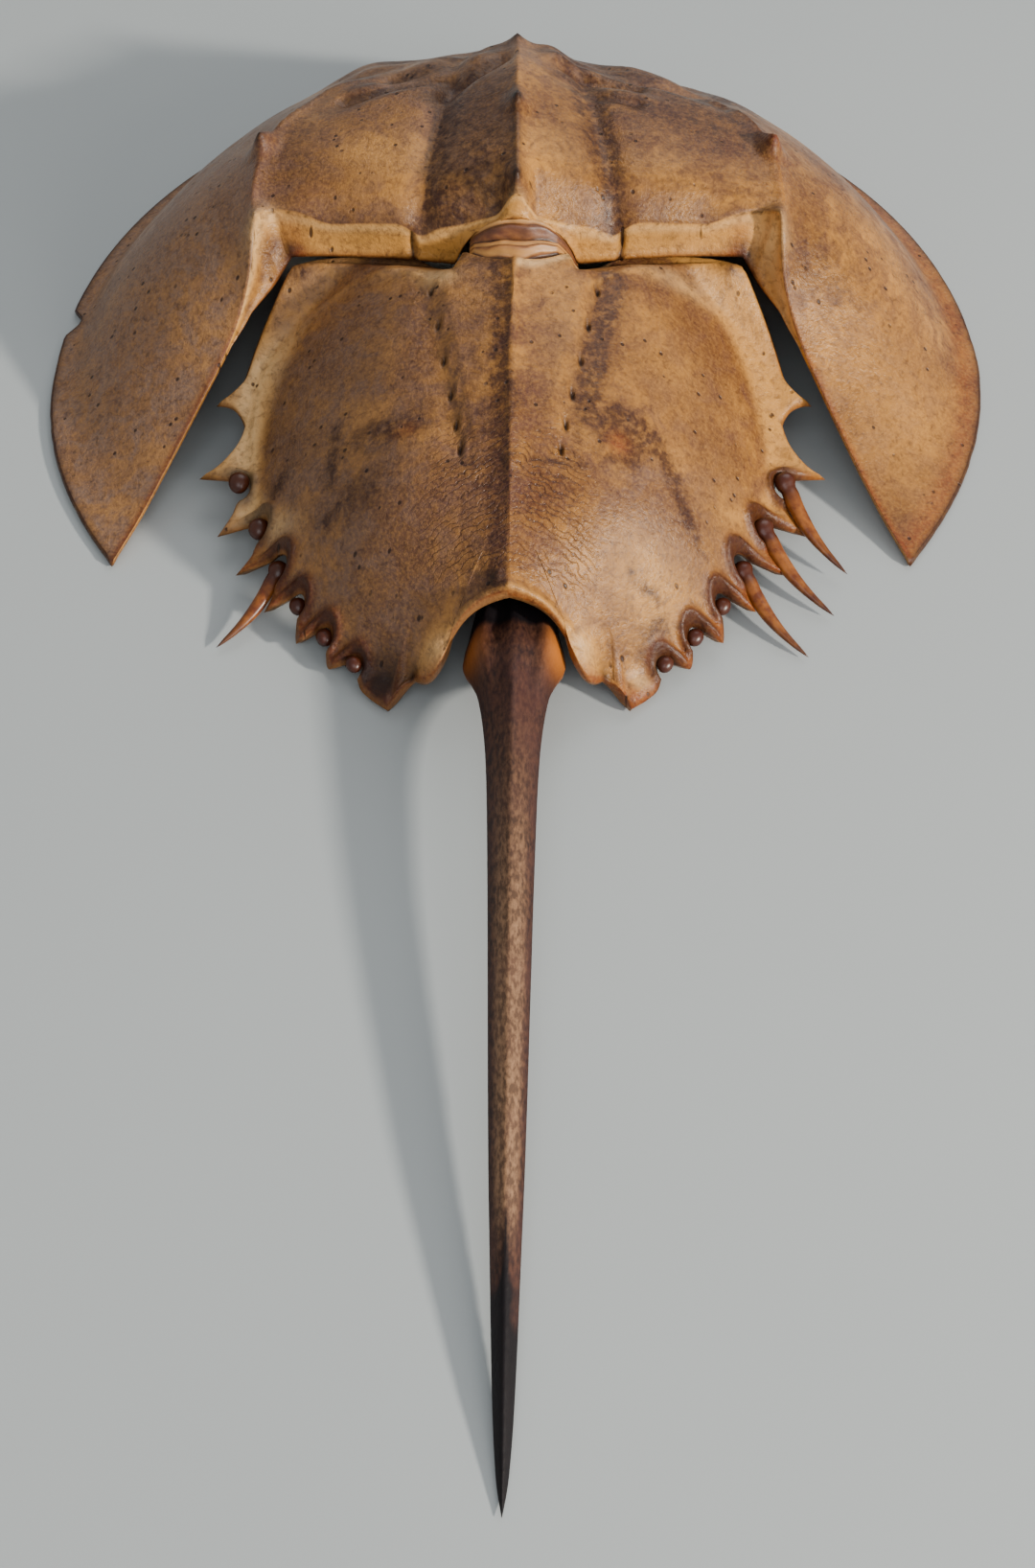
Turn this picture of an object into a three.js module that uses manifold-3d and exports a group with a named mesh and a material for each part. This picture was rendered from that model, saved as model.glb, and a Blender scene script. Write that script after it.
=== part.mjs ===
// Dried shell of an Atlantic horseshoe crab, lying on its underside.
// Millimetres, +Z up, the head towards +Y. Heights are above the surface the shell lies on.
// The shells are worked out around the hinge between front and rear shell, at y = 0,
// and the whole group is then moved so that the origin is the middle of its footprint.
import * as THREE from "three";
import { mergeVertices } from "three/addons/utils/BufferGeometryUtils.js";
import Module from "manifold-3d";

const wasm = await Module();
wasm.setup();

// Front shell: a broad horseshoe with two wings that end in points.
const HALF_WIDTH = 100;
const DOME_Y = -4; // where the outline is widest
const DOME_LENGTH = 98; // from there to the front margin
const OUTLINE_POWER = 2;
const WING_TIP = [82, -56];
const CORNER_X = 47.3; // where the wing's inner edge meets the hinge
const WING_BEND = [61.5, -16]; // control point of the wing's inner edge
const DOME_HEIGHT = 52;
const DOME_POWER = [2.8, 3.4]; // over the wings and in front
const FLANGE_START = 0.97;
const FLANGE_SLOPE = 22;
const EDGE_THICKNESS = 1.6;
const SHELL_THICKNESS = 1.7;
const RIM_WIDTH = 8; // flat band of the underside along the margin
const WING_FALL = 24;
const BAND_DROP = 6.5; // height of the downturned band along the hinge
const BAND_DEPTH = 2;
const HINGE_ARCH = { halfWidth: 23, height: 14 };
const CREST_ROLL = 6; // length over which the top rolls down to the band
const LOBE_HEIGHT = 7.5; // the raised middle of the front shell
const LOBE_HALF_WIDTH = 21;
const RIDGE_X = 55; // crest over the eyes
const RIDGE_Y = 54;
const RIDGE_POWER = 2.6;
const RIDGE_HEIGHT = 2.5;
const HINGE_SHARE = 0.36; // part of the shell's turn from wing to wing that lies along the hinge
const CHIP = { y: 14, depth: 2.6, reach: 4 }; // break in the left margin

// Rear shell: a vaulted shield with a toothed margin.
const TUCK = 3; // how far it reaches under the front shell
const HINGE_GAP = 1.2;
const REAR_Y = -86.8;
const TOP_RINGS = [1, 0.9, 0.76, 0.58, 0.38, 0.18, 0];
const UNDER_RINGS = [1, 0.9, 0.72, 0.4, 0];
// Points of the midline that the surface fans out from: hinge, hinge corner, last tooth, tail.
const FAN = [-22, -28, -64, -76];
// Smooth margin that the teeth stand on: one point for the corner, each tooth and the bay.
const SMOOTH_MARGIN = [
  [43.6, -3.6], [52.8, -19.6], [53.2, -27], [53.2, -34.6], [50.5, -45.7],
  [45.6, -57], [40.8, -66], [35.2, -73.6], [29.6, -79.8], [21.3, -86.6],
];
const VAULT = { halfWidth: 54.5, y: -42, halfLength: 53 };
const CROWN = { front: 45, drop: 18, power: 1.7 };
const SOCKETS = [[57, -41.3], [52.3, -52.2], [47.8, -62.4], [43.4, -71.2], [37.7, -78.9], [31.6, -85.6]];
const TEETH = [[65, -37.3], [60.4, -51.4], [56, -61.5], [49.6, -71.2], [42.8, -78.8], [36, -84.8]];
const REAR_CORNER = [45.6, 0.4];
const SHOULDER = [56.2, -17.4]; // where the first tooth starts
const FIRST_TOOTH = [62.2, -22.4];
const BAY = [56.1, -26.6];
const END_SPINE = [24.3, -94.4];
const SOCKET_RADII = [2.7, 2.7, 2.7, 2.2, 2.2, 2.1];
const TAIL_ARCH = { halfWidth: 14.5, foot: 13.5, rise: 14.5 }; // over the root of the tail
const SKIN_REACH = 8.5; // how far the skin parts the rear shell from the arch in the middle
const SKEW = 1.9; // the dried shell bends a little to the left towards its tail

// Tail spine: [y, width, height of its top].
const TAIL = [
  [-84, 14, 18], [-87.5, 18.6, 20], [-91.5, 20, 20.6], [-96, 16.6, 20.6], [-101, 13.8, 20.3],
  [-110, 11.3, 19.8], [-122, 9.8, 19], [-143, 8.7, 17.4], [-164, 7.9, 15.2], [-186, 7.1, 12.6],
  [-202, 6.4, 10.6], [-217, 5.5, 8.3], [-232, 4.6, 6], [-242, 3.9, 4.4], [-250, 3.1, 3], [-257.5, 1.9, 1.7],
];
const TAIL_LEAN = [-0.5, -2.6]; // sideways, at the root and at the tip
const TAIL_TIP = [TAIL_LEAN[1], -263.2, 0.5];
const TAIL_DEPTH = 0.74; // height of the section as a share of its width

// Spines that were movable in life: root to tip, [x, y, z] outwards from the socket.
const LONG = [[10.2, -17, -6.5], [11.8, -16.2, -5.6], [10.6, -16.6, -4.6]];
const SHORT = [[2.6, -5.6, -2.4], [2.2, -5.4, -1.6], [1.8, -5.2, -1.2]];
const SPINES = {
  right: [...LONG, ...SHORT],
  left: [[2.6, -3.6, -1.8], [3.2, -4.6, -2.4], [9.6, -14.2, -4.4], ...SHORT],
};

const clamp = THREE.MathUtils.clamp;
const smoothstep = (v, a, b) => THREE.MathUtils.smoothstep(v, a, b);
const smoothMax = (a, b, k) => (a + b + Math.sqrt((a - b) ** 2 + k * k)) / 2;
const smoothMin = (a, b, k) => (a + b - Math.sqrt((a - b) ** 2 + k * k)) / 2;
const softPlus = (v, k) => (v / k > 30 ? v : k * Math.log1p(Math.exp(v / k)));
const lerp2 = (a, b, t) => [a[0] + (b[0] - a[0]) * t, a[1] + (b[1] - a[1]) * t];

function bezier(a, control, b, t) {
  return lerp2(lerp2(a, control, t), lerp2(control, b, t), t);
}

// The hinge bows rearwards towards the middle.
function hingeY(x) {
  return -5 * (1 - smoothstep(Math.abs(x), 4, CORNER_X));
}

// Lower edge of the front shell's downturned band, an arch over the middle.
function bandFoot(x) {
  const side = 36.5 - 2.5 * clamp((Math.abs(x) - 20) / (CORNER_X - 20), 0, 1);
  const arch = Math.cos((Math.PI / 2) * clamp(x / HINGE_ARCH.halfWidth, -1, 1));
  return side + HINGE_ARCH.height * arch ** 1.6;
}

// 0 in the middle of the dome and 1 on its outline.
function domeShare(x, y) {
  const across = Math.abs(x) / HALF_WIDTH;
  const behind = DOME_Y - y;
  if (behind <= 0) {
    const along = -behind / DOME_LENGTH;
    return (across ** OUTLINE_POWER + along ** OUTLINE_POWER) ** (1 / OUTLINE_POWER);
  }
  const taper = (HALF_WIDTH - WING_TIP[0]) / HALF_WIDTH;
  const back = behind / (DOME_Y - WING_TIP[1]);
  return (across + Math.sqrt(across ** 2 + 4 * taper * back ** 2)) / 2;
}

// Smooth dome of the front shell, without ridges.
function domeHeight(x, y) {
  const share = domeShare(x, y);
  const behindHinge = softPlus(hingeY(x) - 2 - y, 5);
  const fall = 1 / (1 + behindHinge / WING_FALL);
  const power = DOME_POWER[0] + (DOME_POWER[1] - DOME_POWER[0]) * smoothstep(y, -5, 25);
  const dome = DOME_HEIGHT * (1 - (share / FLANGE_START) ** power) * fall;
  const flange = EDGE_THICKNESS - 0.3 + FLANGE_SLOPE * (1 - share);
  return smoothMax(dome, flange, 2);
}

function lobeRelief(x, y) {
  const reach = LOBE_HALF_WIDTH - 0.15 * (y + 8);
  const rise = (LOBE_HEIGHT - 0.05 * (y + 12)) * (1 - smoothstep(y, 45, 85));
  const side = Math.abs(x) / reach;
  const furrow = Math.exp(-(((Math.abs(x) - reach) / 3) ** 2)) * (1 - smoothstep(y, 40, 70));
  return rise * Math.max(0, 1 - side) ** 1.1 - 1.2 * furrow;
}

function ridgeRelief(x, y) {
  const across = (Math.abs(x) / RIDGE_X) ** RIDGE_POWER;
  const along = (Math.max(0, y) / RIDGE_Y) ** RIDGE_POWER;
  const ring = (across + along) ** (1 / RIDGE_POWER);
  const crest = Math.exp(-Math.abs(ring - 1) * RIDGE_X / 3.5);
  const fade = smoothstep(y, -16, -4) * (1 - 0.6 * smoothstep(y, 30, 50));
  return RIDGE_HEIGHT * crest * fade;
}

// How far the top rolls down towards the band along the hinge.
function crestRoll(x, y) {
  const side = Math.abs(x);
  const depth = 2.2 + 3.4 * smoothstep(side, 5, 16) - 2.3 * smoothstep(side, 19, 25);
  const ahead = Math.max(0, y - hingeY(x)) / CREST_ROLL;
  return depth * Math.exp(-(ahead ** 2)) * (1 - smoothstep(side, 38, 47));
}

function frontTop(x, y) {
  return domeHeight(x, y) + lobeRelief(x, y) + ridgeRelief(x, y) - crestRoll(x, y);
}

// Plan of the front shell at a, from -1 at the left wing tip over 0 in front to 1 at the right.
function outerPoint(a) {
  const side = Math.sign(a) || 1;
  const k = Math.abs(a);
  const sideShare = 0.62;
  if (k <= sideShare) {
    const angle = (Math.PI / 2) * (1 - k / sideShare);
    const power = 2 / OUTLINE_POWER;
    const x = HALF_WIDTH * Math.cos(angle) ** power;
    return [side * x, DOME_Y + DOME_LENGTH * Math.sin(angle) ** power];
  }
  const back = (k - sideShare) / (1 - sideShare);
  const x = HALF_WIDTH - (HALF_WIDTH - WING_TIP[0]) * back ** 2;
  return [side * x, DOME_Y + (WING_TIP[1] - DOME_Y) * back];
}

function innerPoint(a) {
  const side = Math.sign(a) || 1;
  const k = Math.abs(a);
  if (k <= HINGE_SHARE) {
    const x = (CORNER_X * k) / HINGE_SHARE;
    return [side * x, hingeY(x)];
  }
  const [x, y] = bezier([CORNER_X, 0], WING_BEND, WING_TIP, (k - HINGE_SHARE) / (1 - HINGE_SHARE));
  return [side * x, y];
}

// How much of the downturned band is left along the inner edge: all at the hinge, none on the wing.
function bandShare(a) {
  return 1 - smoothstep(Math.abs(a), 0.4, 0.66);
}

function chipInset([x, y]) {
  if (x > 0) return 0;
  return CHIP.depth * Math.max(0, 1 - Math.abs(y - CHIP.y) / CHIP.reach);
}

// One section of the front shell, from the margin along the underside and back over the top.
function frontSection(a) {
  if (Math.abs(a) === 1) return null;
  const inner = innerPoint(a);
  let outer = outerPoint(a);
  const inset = chipInset(outer);
  outer = [outer[0] + inset, outer[1]];
  const span = Math.hypot(outer[0] - inner[0], outer[1] - inner[1]);
  const band = bandShare(a);
  const bulge = 1 + 2.4 * Math.exp(-(((Math.abs(a) - 0.4) / 0.07) ** 2));
  const bandWidth = Math.min(BAND_DEPTH * bulge * band + 0.01, 0.3 * span);
  const bandEnd = bandWidth / span;
  const [foot0, foot1] = inner;
  const hinge = Math.abs(a) <= HINGE_SHARE;
  const top = lerp2(inner, outer, bandEnd);
  const crest = frontTop(...top);
  const foot = hinge ? bandFoot(foot0) : frontTop(foot0, foot1) - (BAND_DROP + 1.4) * band;
  const lowFoot = Math.min(foot, crest - 1.1);
  const rim = Math.min(RIM_WIDTH, 0.45 * span) / span;
  const wall = Math.min(1.2, 0.08 * span) / span;
  const under = [];
  const add = (list, t, z) => {
    const [x, y] = lerp2(inner, outer, t);
    list.push([x, y, z]);
  };
  const hollow = (t) => {
    const [x, y] = lerp2(inner, outer, t);
    return Math.max(0, domeHeight(x, y) - SHELL_THICKNESS * (1.25 + 0.5 * t));
  };
  add(under, 1, 0);
  add(under, 1 - rim, 0);
  const underFrom = Math.min(1 - rim - wall, 0.95);
  const underTo = Math.min(bandEnd + 1.5 / span, 0.4);
  const UNDER_STEPS = 8;
  for (let i = 0; i <= UNDER_STEPS; i++) {
    const t = underFrom + (underTo - underFrom) * (i / UNDER_STEPS);
    add(under, t, Math.min(hollow(t), crest - 1.5));
  }
  const lip = Math.min(1.4, 0.12 * span) / span;
  const atLip = lerp2(inner, outer, lip);
  under.push([...atLip, clamp(frontTop(...atLip) - SHELL_THICKNESS, 0, lowFoot - 0.05)]);
  const over = [[foot0, foot1, lowFoot]];
  add(over, bandEnd * 0.4, lowFoot + (crest - lowFoot) * 0.6);
  add(over, bandEnd, crest);
  const TOP_STEPS = 16;
  for (let i = 1; i <= TOP_STEPS; i++) {
    const t = bandEnd + (1 - bandEnd) * Math.sin((Math.PI / 2) * (i / TOP_STEPS)) ** 0.9;
    add(over, t, frontTop(...lerp2(inner, outer, t)));
  }
  return [...under, ...over];
}

function frontShell() {
  const HINGE_STEPS = 12;
  const WING_STEPS = 18;
  const half = [];
  for (let i = 1; i <= HINGE_STEPS; i++) half.push((HINGE_SHARE * i) / HINGE_STEPS);
  for (let i = 1; i <= WING_STEPS; i++) half.push(HINGE_SHARE + ((1 - HINGE_SHARE) * i) / WING_STEPS);
  const places = [...half.map((k) => -k).reverse(), 0, ...half];
  const sections = places.map(frontSection);
  const count = sections.find(Boolean).length;
  const tip = (side) => new Array(count).fill([side * WING_TIP[0], WING_TIP[1], 0.6]);
  sections[0] = tip(-1);
  sections[sections.length - 1] = tip(1);
  let solid = loft(sections);
  for (const thorn of THORNS) solid = solid.add(coneBetween(thorn));
  return solid;
}

// Thorns on the keel and over the eyes: foot on the shell, height, foot radius and lean.
const THORNS = [
  { x: 0, y: -1.5, rise: 3.2, radius: 2.8, lean: [0, -2.2] },
  { x: 0, y: 22, rise: 3.8, radius: 3, lean: [0, -1.2] },
  { x: 0, y: 54, rise: 2.6, radius: 3, lean: [0, -0.6] },
  ...[-1, 1].flatMap((side) => [
    { x: side * 53.5, y: 23, rise: 6, radius: 3, lean: [side * 0.6, -1.6] },
    { x: side * 53.5, y: 3, rise: 4, radius: 2.8, lean: [side * 0.4, -1.6] },
  ]),
];

function coneBetween({ x, y, rise, radius, lean }) {
  const SINK = 1;
  const foot = frontTop(x, y) - SINK;
  const SIDES = 8;
  const ring = (scale, cx, cy, z) => {
    const loop = [];
    for (let i = 0; i < SIDES; i++) {
      const angle = (i / SIDES) * 2 * Math.PI;
      const dx = Math.cos(angle) * radius * scale;
      loop.push([cx + dx, cy + Math.sin(angle) * radius * scale * 1.5, z]);
    }
    return loop;
  };
  const at = (t) => [x + lean[0] * t, y + lean[1] * t];
  return loft([
    new Array(SIDES).fill([x, y, foot - 0.2]),
    ring(1, ...at(0), foot),
    ring(0.42, ...at(0.45), foot + SINK + rise * 0.4),
    new Array(SIDES).fill([...at(1), foot + SINK + rise]),
  ]);
}

// Height of the rear shell's margin.
function marginHeight(y) {
  return 2.2 + 31 * Math.exp(Math.min(y, 0) / 25);
}

function rearTop(x, y) {
  const crownShare = clamp((-12 - y) / 79, 0, 1.2);
  const crown = CROWN.front - CROWN.drop * crownShare ** CROWN.power;
  const margin = marginHeight(y);
  const along = clamp((y - VAULT.y) / VAULT.halfLength, -0.9, 0.9);
  const reach = VAULT.halfWidth * Math.sqrt(1 - along ** 2);
  const rear = smoothstep(-y, 62, 90);
  const power = 2.4 - 1.25 * rear;
  const side = Math.abs(x) / reach;
  const vault = margin - 2 + (crown - margin + 2) * (1 - side ** power);
  const flange = margin + 0.2 * (VAULT.halfWidth + 4 - Math.abs(x)) * (1 - rear);
  const keel = 1.6 * Math.exp(-Math.abs(x) / 2.5) * (1 - rear);
  const inArch = Math.abs(x) / TAIL_ARCH.halfWidth;
  const round = inArch < 1 ? TAIL_ARCH.rise * Math.sqrt(1 - inArch ** 2) : 60 * (1 - inArch);
  const overTail = TAIL_ARCH.foot + round;
  const shield = smoothMax(smoothMax(vault, overTail, 1.2), flange, 2.5) + keel;
  const behind = Math.max(0, hingeY(x) - y);
  const underBand = bandFoot(x) - HINGE_GAP - 0.7 + 0.9 * behind;
  return smoothMin(shield, underBand, 0.8);
}

// Front edge of the rear shell: under the band, and free behind the skin in the middle.
function rearFrontY(x) {
  const free = Math.cos((Math.PI / 2) * clamp(x / HINGE_ARCH.halfWidth, -1, 1));
  return hingeY(x) + TUCK * (1 - (x / CORNER_X) ** 6) - (TUCK + SKIN_REACH) * free ** 1.5;
}

// Right half of the rear shell's outline, from the middle of the hinge round to the tail.
function rearOutline() {
  const points = [];
  const curve = (a, control, b, steps) => {
    for (let i = 1; i < steps; i++) points.push(bezier(a, control, b, i / steps));
    points.push(b);
  };
  const FRONT_STEPS = 12;
  for (let i = 0; i < FRONT_STEPS; i++) {
    const x = REAR_CORNER[0] * (i / FRONT_STEPS);
    points.push([x, rearFrontY(x)]);
  }
  points.push(REAR_CORNER);
  curve(REAR_CORNER, [52.6, -7.5], SHOULDER, 3);
  curve(SHOULDER, [57.4, -20.2], FIRST_TOOTH, 2);
  curve(FIRST_TOOTH, [57.2, -22.8], BAY, 2);
  curve(BAY, [58.4, -35.3], TEETH[0], 3);
  SOCKETS.forEach((socket, i) => {
    const before = SOCKETS[Math.max(0, i - 1)];
    const after = SOCKETS[Math.min(SOCKETS.length - 1, i + 1)];
    const length = Math.hypot(after[0] - before[0], after[1] - before[1]);
    const along = [(after[0] - before[0]) / length, (after[1] - before[1]) / length];
    const out = [-along[1], along[0]];
    const place = (s, n) => [socket[0] + along[0] * s + out[0] * n, socket[1] + along[1] * s + out[1] * n];
    const radius = SOCKET_RADII[i];
    const ARC_STEPS = 4;
    for (let j = 0; j <= ARC_STEPS; j++) {
      const angle = Math.PI * (1 + j / ARC_STEPS);
      points.push(place(radius * Math.cos(angle), radius * Math.sin(angle)));
    }
    const next = TEETH[i + 1] || END_SPINE;
    curve(points[points.length - 1], place(radius + 1.6, 2.2), next, 2);
  });
  curve(END_SPINE, [19.5, -89.5], [14.5, -88.6], 3);
  const REAR_STEPS = 6;
  for (let i = 1; i <= REAR_STEPS; i++) {
    const x = 14.5 * (1 - i / REAR_STEPS);
    points.push([x, REAR_Y - 1.8 * (x / 14.5) ** 2]);
  }
  return points;
}

function rearShell() {
  const outline = rearOutline();
  const last = outline.length - 1;
  const anchors = [REAR_CORNER, FIRST_TOOTH, BAY, ...TEETH, END_SPINE].map((p) => outline.indexOf(p));
  const corner = anchors[0];
  const endSpine = anchors[anchors.length - 1];
  const margin = new THREE.CatmullRomCurve3(SMOOTH_MARGIN.map(([x, y]) => new THREE.Vector3(x, y, 0)));
  const stops = [0, corner, endSpine, last];
  const sections = outline.map((edge, i) => {
    const part = i < corner ? 0 : i < endSpine ? 1 : 2;
    const share = (i - stops[part]) / (stops[part + 1] - stops[part]);
    const middle = [0, FAN[part] + (FAN[part + 1] - FAN[part]) * share];
    let foot = lerp2(middle, edge, 0.93);
    if (part === 1) {
      const n = anchors.findIndex((at, m) => i >= at && i < anchors[m + 1]);
      const within = (i - anchors[n]) / (anchors[n + 1] - anchors[n]);
      const at = margin.getPoint((n + within) / (anchors.length - 1));
      foot = [at.x, at.y];
    }
    const point = ([x, y], k, side, underneath) => {
      const top = rearTop(x, y);
      const z = underneath ? Math.max(0.4, top - SHELL_THICKNESS * (1.1 + 0.5 * k)) : top;
      return [side * x, y, z];
    };
    const row = (side, underneath) => {
      const shares = underneath ? UNDER_RINGS : TOP_RINGS;
      const inside = shares.map((k) => point(lerp2(middle, foot, k), k, side, underneath));
      return [point(edge, 1, side, underneath), ...inside];
    };
    const back = (list) => list.slice(0, -1).reverse();
    return [...row(1, false), ...back(row(-1, false)), ...row(-1, true), ...back(row(1, true))];
  });
  return loft(sections);
}

// Dried skin that bridges the arch in the middle of the hinge, in two pleats.
function hingeSkin() {
  const HALF = 15;
  const STEPS = 12;
  const sections = [];
  for (let i = -STEPS; i <= STEPS; i++) {
    const x = (HALF * i) / STEPS;
    const front = hingeY(x) + 0.5;
    const rear = rearFrontY(x) + 0.4;
    const high = bandFoot(x) - 0.45;
    const low = Math.min(rearTop(x, rear) - 0.3, high - 0.6);
    const at = (t, lift) => [x, front + (rear - front) * t, high + (low - high) * t + lift];
    sections.push([
      at(0, 0), at(0.22, 0.35), at(0.45, -0.6), at(0.7, 0.5), at(1, 0),
      at(1, -0.9), at(0.7, -0.7), at(0.45, -1.7), at(0.22, -0.9), at(0, -0.9),
    ]);
  }
  return loft([collapse(sections[0]), ...sections, collapse(sections[sections.length - 1])]);
}

// A tail section: flat below, keeled above.
function tailSection([y, width, top]) {
  const half = width / 2;
  const depth = width * TAIL_DEPTH;
  const low = Math.max(0.02, top - depth);
  const along = (TAIL[0][0] - y) / (TAIL[0][0] - TAIL_TIP[1]);
  const lean = TAIL_LEAN[0] + (TAIL_LEAN[1] - TAIL_LEAN[0]) * along;
  const at = (u, v) => [lean + half * u, y, low + (top - low) * v];
  const right = [[0.5, 0.84], [0.94, 0.42], [0.9, 0.2], [0.45, 0]];
  const left = right.map(([u, v]) => [-u, v]).reverse();
  return [[0, 1], ...right, ...left].map(([u, v]) => at(u, v));
}

function tailSpine() {
  const sections = TAIL.map(tailSection);
  const count = sections[0].length;
  return loft([collapse(sections[0]), ...sections, new Array(count).fill(TAIL_TIP)]);
}

function movableSpine(index, side, reach) {
  const socket = SOCKETS[index];
  const out = index < 3 ? 1.6 : 0.3;
  const foot = [side * (socket[0] + out), socket[1] - out, marginHeight(socket[1]) + 0.9];
  const tip = new THREE.Vector3(side * reach[0], reach[1], reach[2]);
  const length = tip.length();
  const radius = 0.9 + 0.035 * length;
  const direction = tip.clone().normalize();
  const sideways = new THREE.Vector3(0, 0, 1).cross(direction).normalize();
  const up = direction.clone().cross(sideways);
  const SIDES = 6;
  const ring = (t, scale) => {
    const loop = [];
    const droop = 1.4 * side * Math.sin(Math.PI * t) * (length / 20);
    for (let i = 0; i < SIDES; i++) {
      const angle = (i / SIDES) * 2 * Math.PI;
      const p = new THREE.Vector3(...foot).addScaledVector(tip, t);
      p.addScaledVector(sideways, Math.cos(angle) * radius * scale - droop);
      p.addScaledVector(up, Math.sin(angle) * radius * scale * 0.72);
      loop.push(p.toArray());
    }
    return loop;
  };
  const rings = [[0, 0.85], [0.12, 1.1], [0.35, 1], [0.6, 0.72], [0.82, 0.4]].map(([t, s]) => ring(t, s));
  return loft([collapse(rings[0]), ...rings, collapse(ring(1, 0.05))]);
}

// The middle of a loop, repeated, which closes the end of a loft.
function collapse(loop) {
  const middle = [0, 1, 2].map((axis) => loop.reduce((sum, p) => sum + p[axis], 0) / loop.length);
  return loop.map(() => middle);
}

// Skins a row of closed loops into one closed solid.
function loft(sections) {
  const count = sections[0].length;
  const position = new THREE.Float32BufferAttribute(sections.flat(2), 3);
  const index = [];
  for (let i = 0; i < sections.length - 1; i++) {
    for (let j = 0; j < count; j++) {
      const a = i * count + j;
      const b = i * count + ((j + 1) % count);
      index.push(a, b, b + count, a, b + count, a + count);
    }
  }
  const raw = new THREE.BufferGeometry().setAttribute("position", position).setIndex(index);
  return solidFrom(mergeVertices(raw, 1e-3));
}

// A closed geometry as a manifold solid that faces outwards.
function solidFrom(geometry) {
  const p = geometry.attributes.position.array;
  const all = geometry.index.array;
  const kept = [];
  let volume = 0;
  for (let i = 0; i < all.length; i += 3) {
    const [a, b, c] = [all[i], all[i + 1], all[i + 2]];
    if (a === b || b === c || a === c) continue;
    kept.push(a, b, c);
    const corner = (n) => new THREE.Vector3(p[3 * n], p[3 * n + 1], p[3 * n + 2]);
    volume += corner(a).dot(corner(b).cross(corner(c)));
  }
  if (volume < 0) {
    for (let i = 0; i < kept.length; i += 3) [kept[i + 1], kept[i + 2]] = [kept[i + 2], kept[i + 1]];
  }
  const triVerts = new Uint32Array(kept);
  return new wasm.Manifold(new wasm.Mesh({ numProp: 3, vertProperties: p, triVerts }));
}

// Bends a symmetric solid a little to the left towards its tail.
function bent(solid) {
  return solid.warp((v) => {
    v[0] -= SKEW * (1 - Math.exp(Math.min(0, v[1]) / 45));
  });
}

function meshOf(name, solid, material) {
  const { numProp, numVert, vertProperties, triVerts } = solid.getMesh();
  const position = new Float32Array(numVert * 3);
  for (let i = 0; i < numVert; i++) {
    position.set(vertProperties.subarray(i * numProp, i * numProp + 3), i * 3);
  }
  const geometry = new THREE.BufferGeometry();
  geometry.setAttribute("position", new THREE.BufferAttribute(position, 3));
  geometry.setIndex(new THREE.BufferAttribute(triVerts, 1));
  geometry.computeVertexNormals();
  const mesh = new THREE.Mesh(geometry, material);
  mesh.name = name;
  return mesh;
}

const chitin = new THREE.MeshStandardMaterial({ color: 0x9a6b3c, roughness: 0.45, metalness: 0 });
const hornBrown = new THREE.MeshStandardMaterial({ color: 0x6b4229, roughness: 0.5, metalness: 0 });
const spineAmber = new THREE.MeshStandardMaterial({ color: 0x8a4f22, roughness: 0.35, metalness: 0 });
const driedSkin = new THREE.MeshStandardMaterial({ color: 0x7a4a38, roughness: 0.6, metalness: 0 });

const crab = new THREE.Group();
crab.add(meshOf("front_shell", bent(frontShell()), chitin));
crab.add(meshOf("rear_shell", bent(rearShell()), chitin));
crab.add(meshOf("hinge_skin", bent(hingeSkin()), driedSkin));
crab.add(meshOf("tail_spine", tailSpine(), hornBrown));
for (const [name, side] of [["right", 1], ["left", -1]]) {
  SPINES[name].forEach((reach, i) => {
    const spine = bent(movableSpine(i, side, reach));
    crab.add(meshOf(`side_spine_${name}_${i + 1}`, spine, spineAmber));
  });
}
const FRONT_Y = DOME_Y + DOME_LENGTH;
crab.position.y = -(FRONT_Y + TAIL_TIP[1]) / 2;

export default crab;
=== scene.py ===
"""Looks of a dried horseshoe crab shell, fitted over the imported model.

Shapes are worked out in millimetres round the hinge between the two shells, at y = 0,
with the head towards +y, and row_metres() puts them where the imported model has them.
"""
import math
from collections import namedtuple
from functools import lru_cache

import bmesh
import bpy
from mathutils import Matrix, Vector, noise


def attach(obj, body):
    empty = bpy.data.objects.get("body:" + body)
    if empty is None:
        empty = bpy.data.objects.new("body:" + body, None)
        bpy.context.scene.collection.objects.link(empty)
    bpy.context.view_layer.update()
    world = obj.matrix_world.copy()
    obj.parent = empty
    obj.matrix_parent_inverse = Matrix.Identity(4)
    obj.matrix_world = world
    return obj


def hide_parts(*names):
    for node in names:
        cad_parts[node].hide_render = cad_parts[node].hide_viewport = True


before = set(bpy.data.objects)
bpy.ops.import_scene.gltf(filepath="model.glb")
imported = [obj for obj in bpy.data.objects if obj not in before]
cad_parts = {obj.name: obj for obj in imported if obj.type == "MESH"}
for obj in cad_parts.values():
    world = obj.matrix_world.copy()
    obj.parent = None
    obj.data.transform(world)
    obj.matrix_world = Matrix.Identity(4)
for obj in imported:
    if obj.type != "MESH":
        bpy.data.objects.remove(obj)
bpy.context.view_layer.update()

MM = 0.001
HINGE_Y = 84.6  # the hinge, from the middle of the footprint
SKEW = 1.9  # the dried shells bend a little to the left towards the tail

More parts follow.
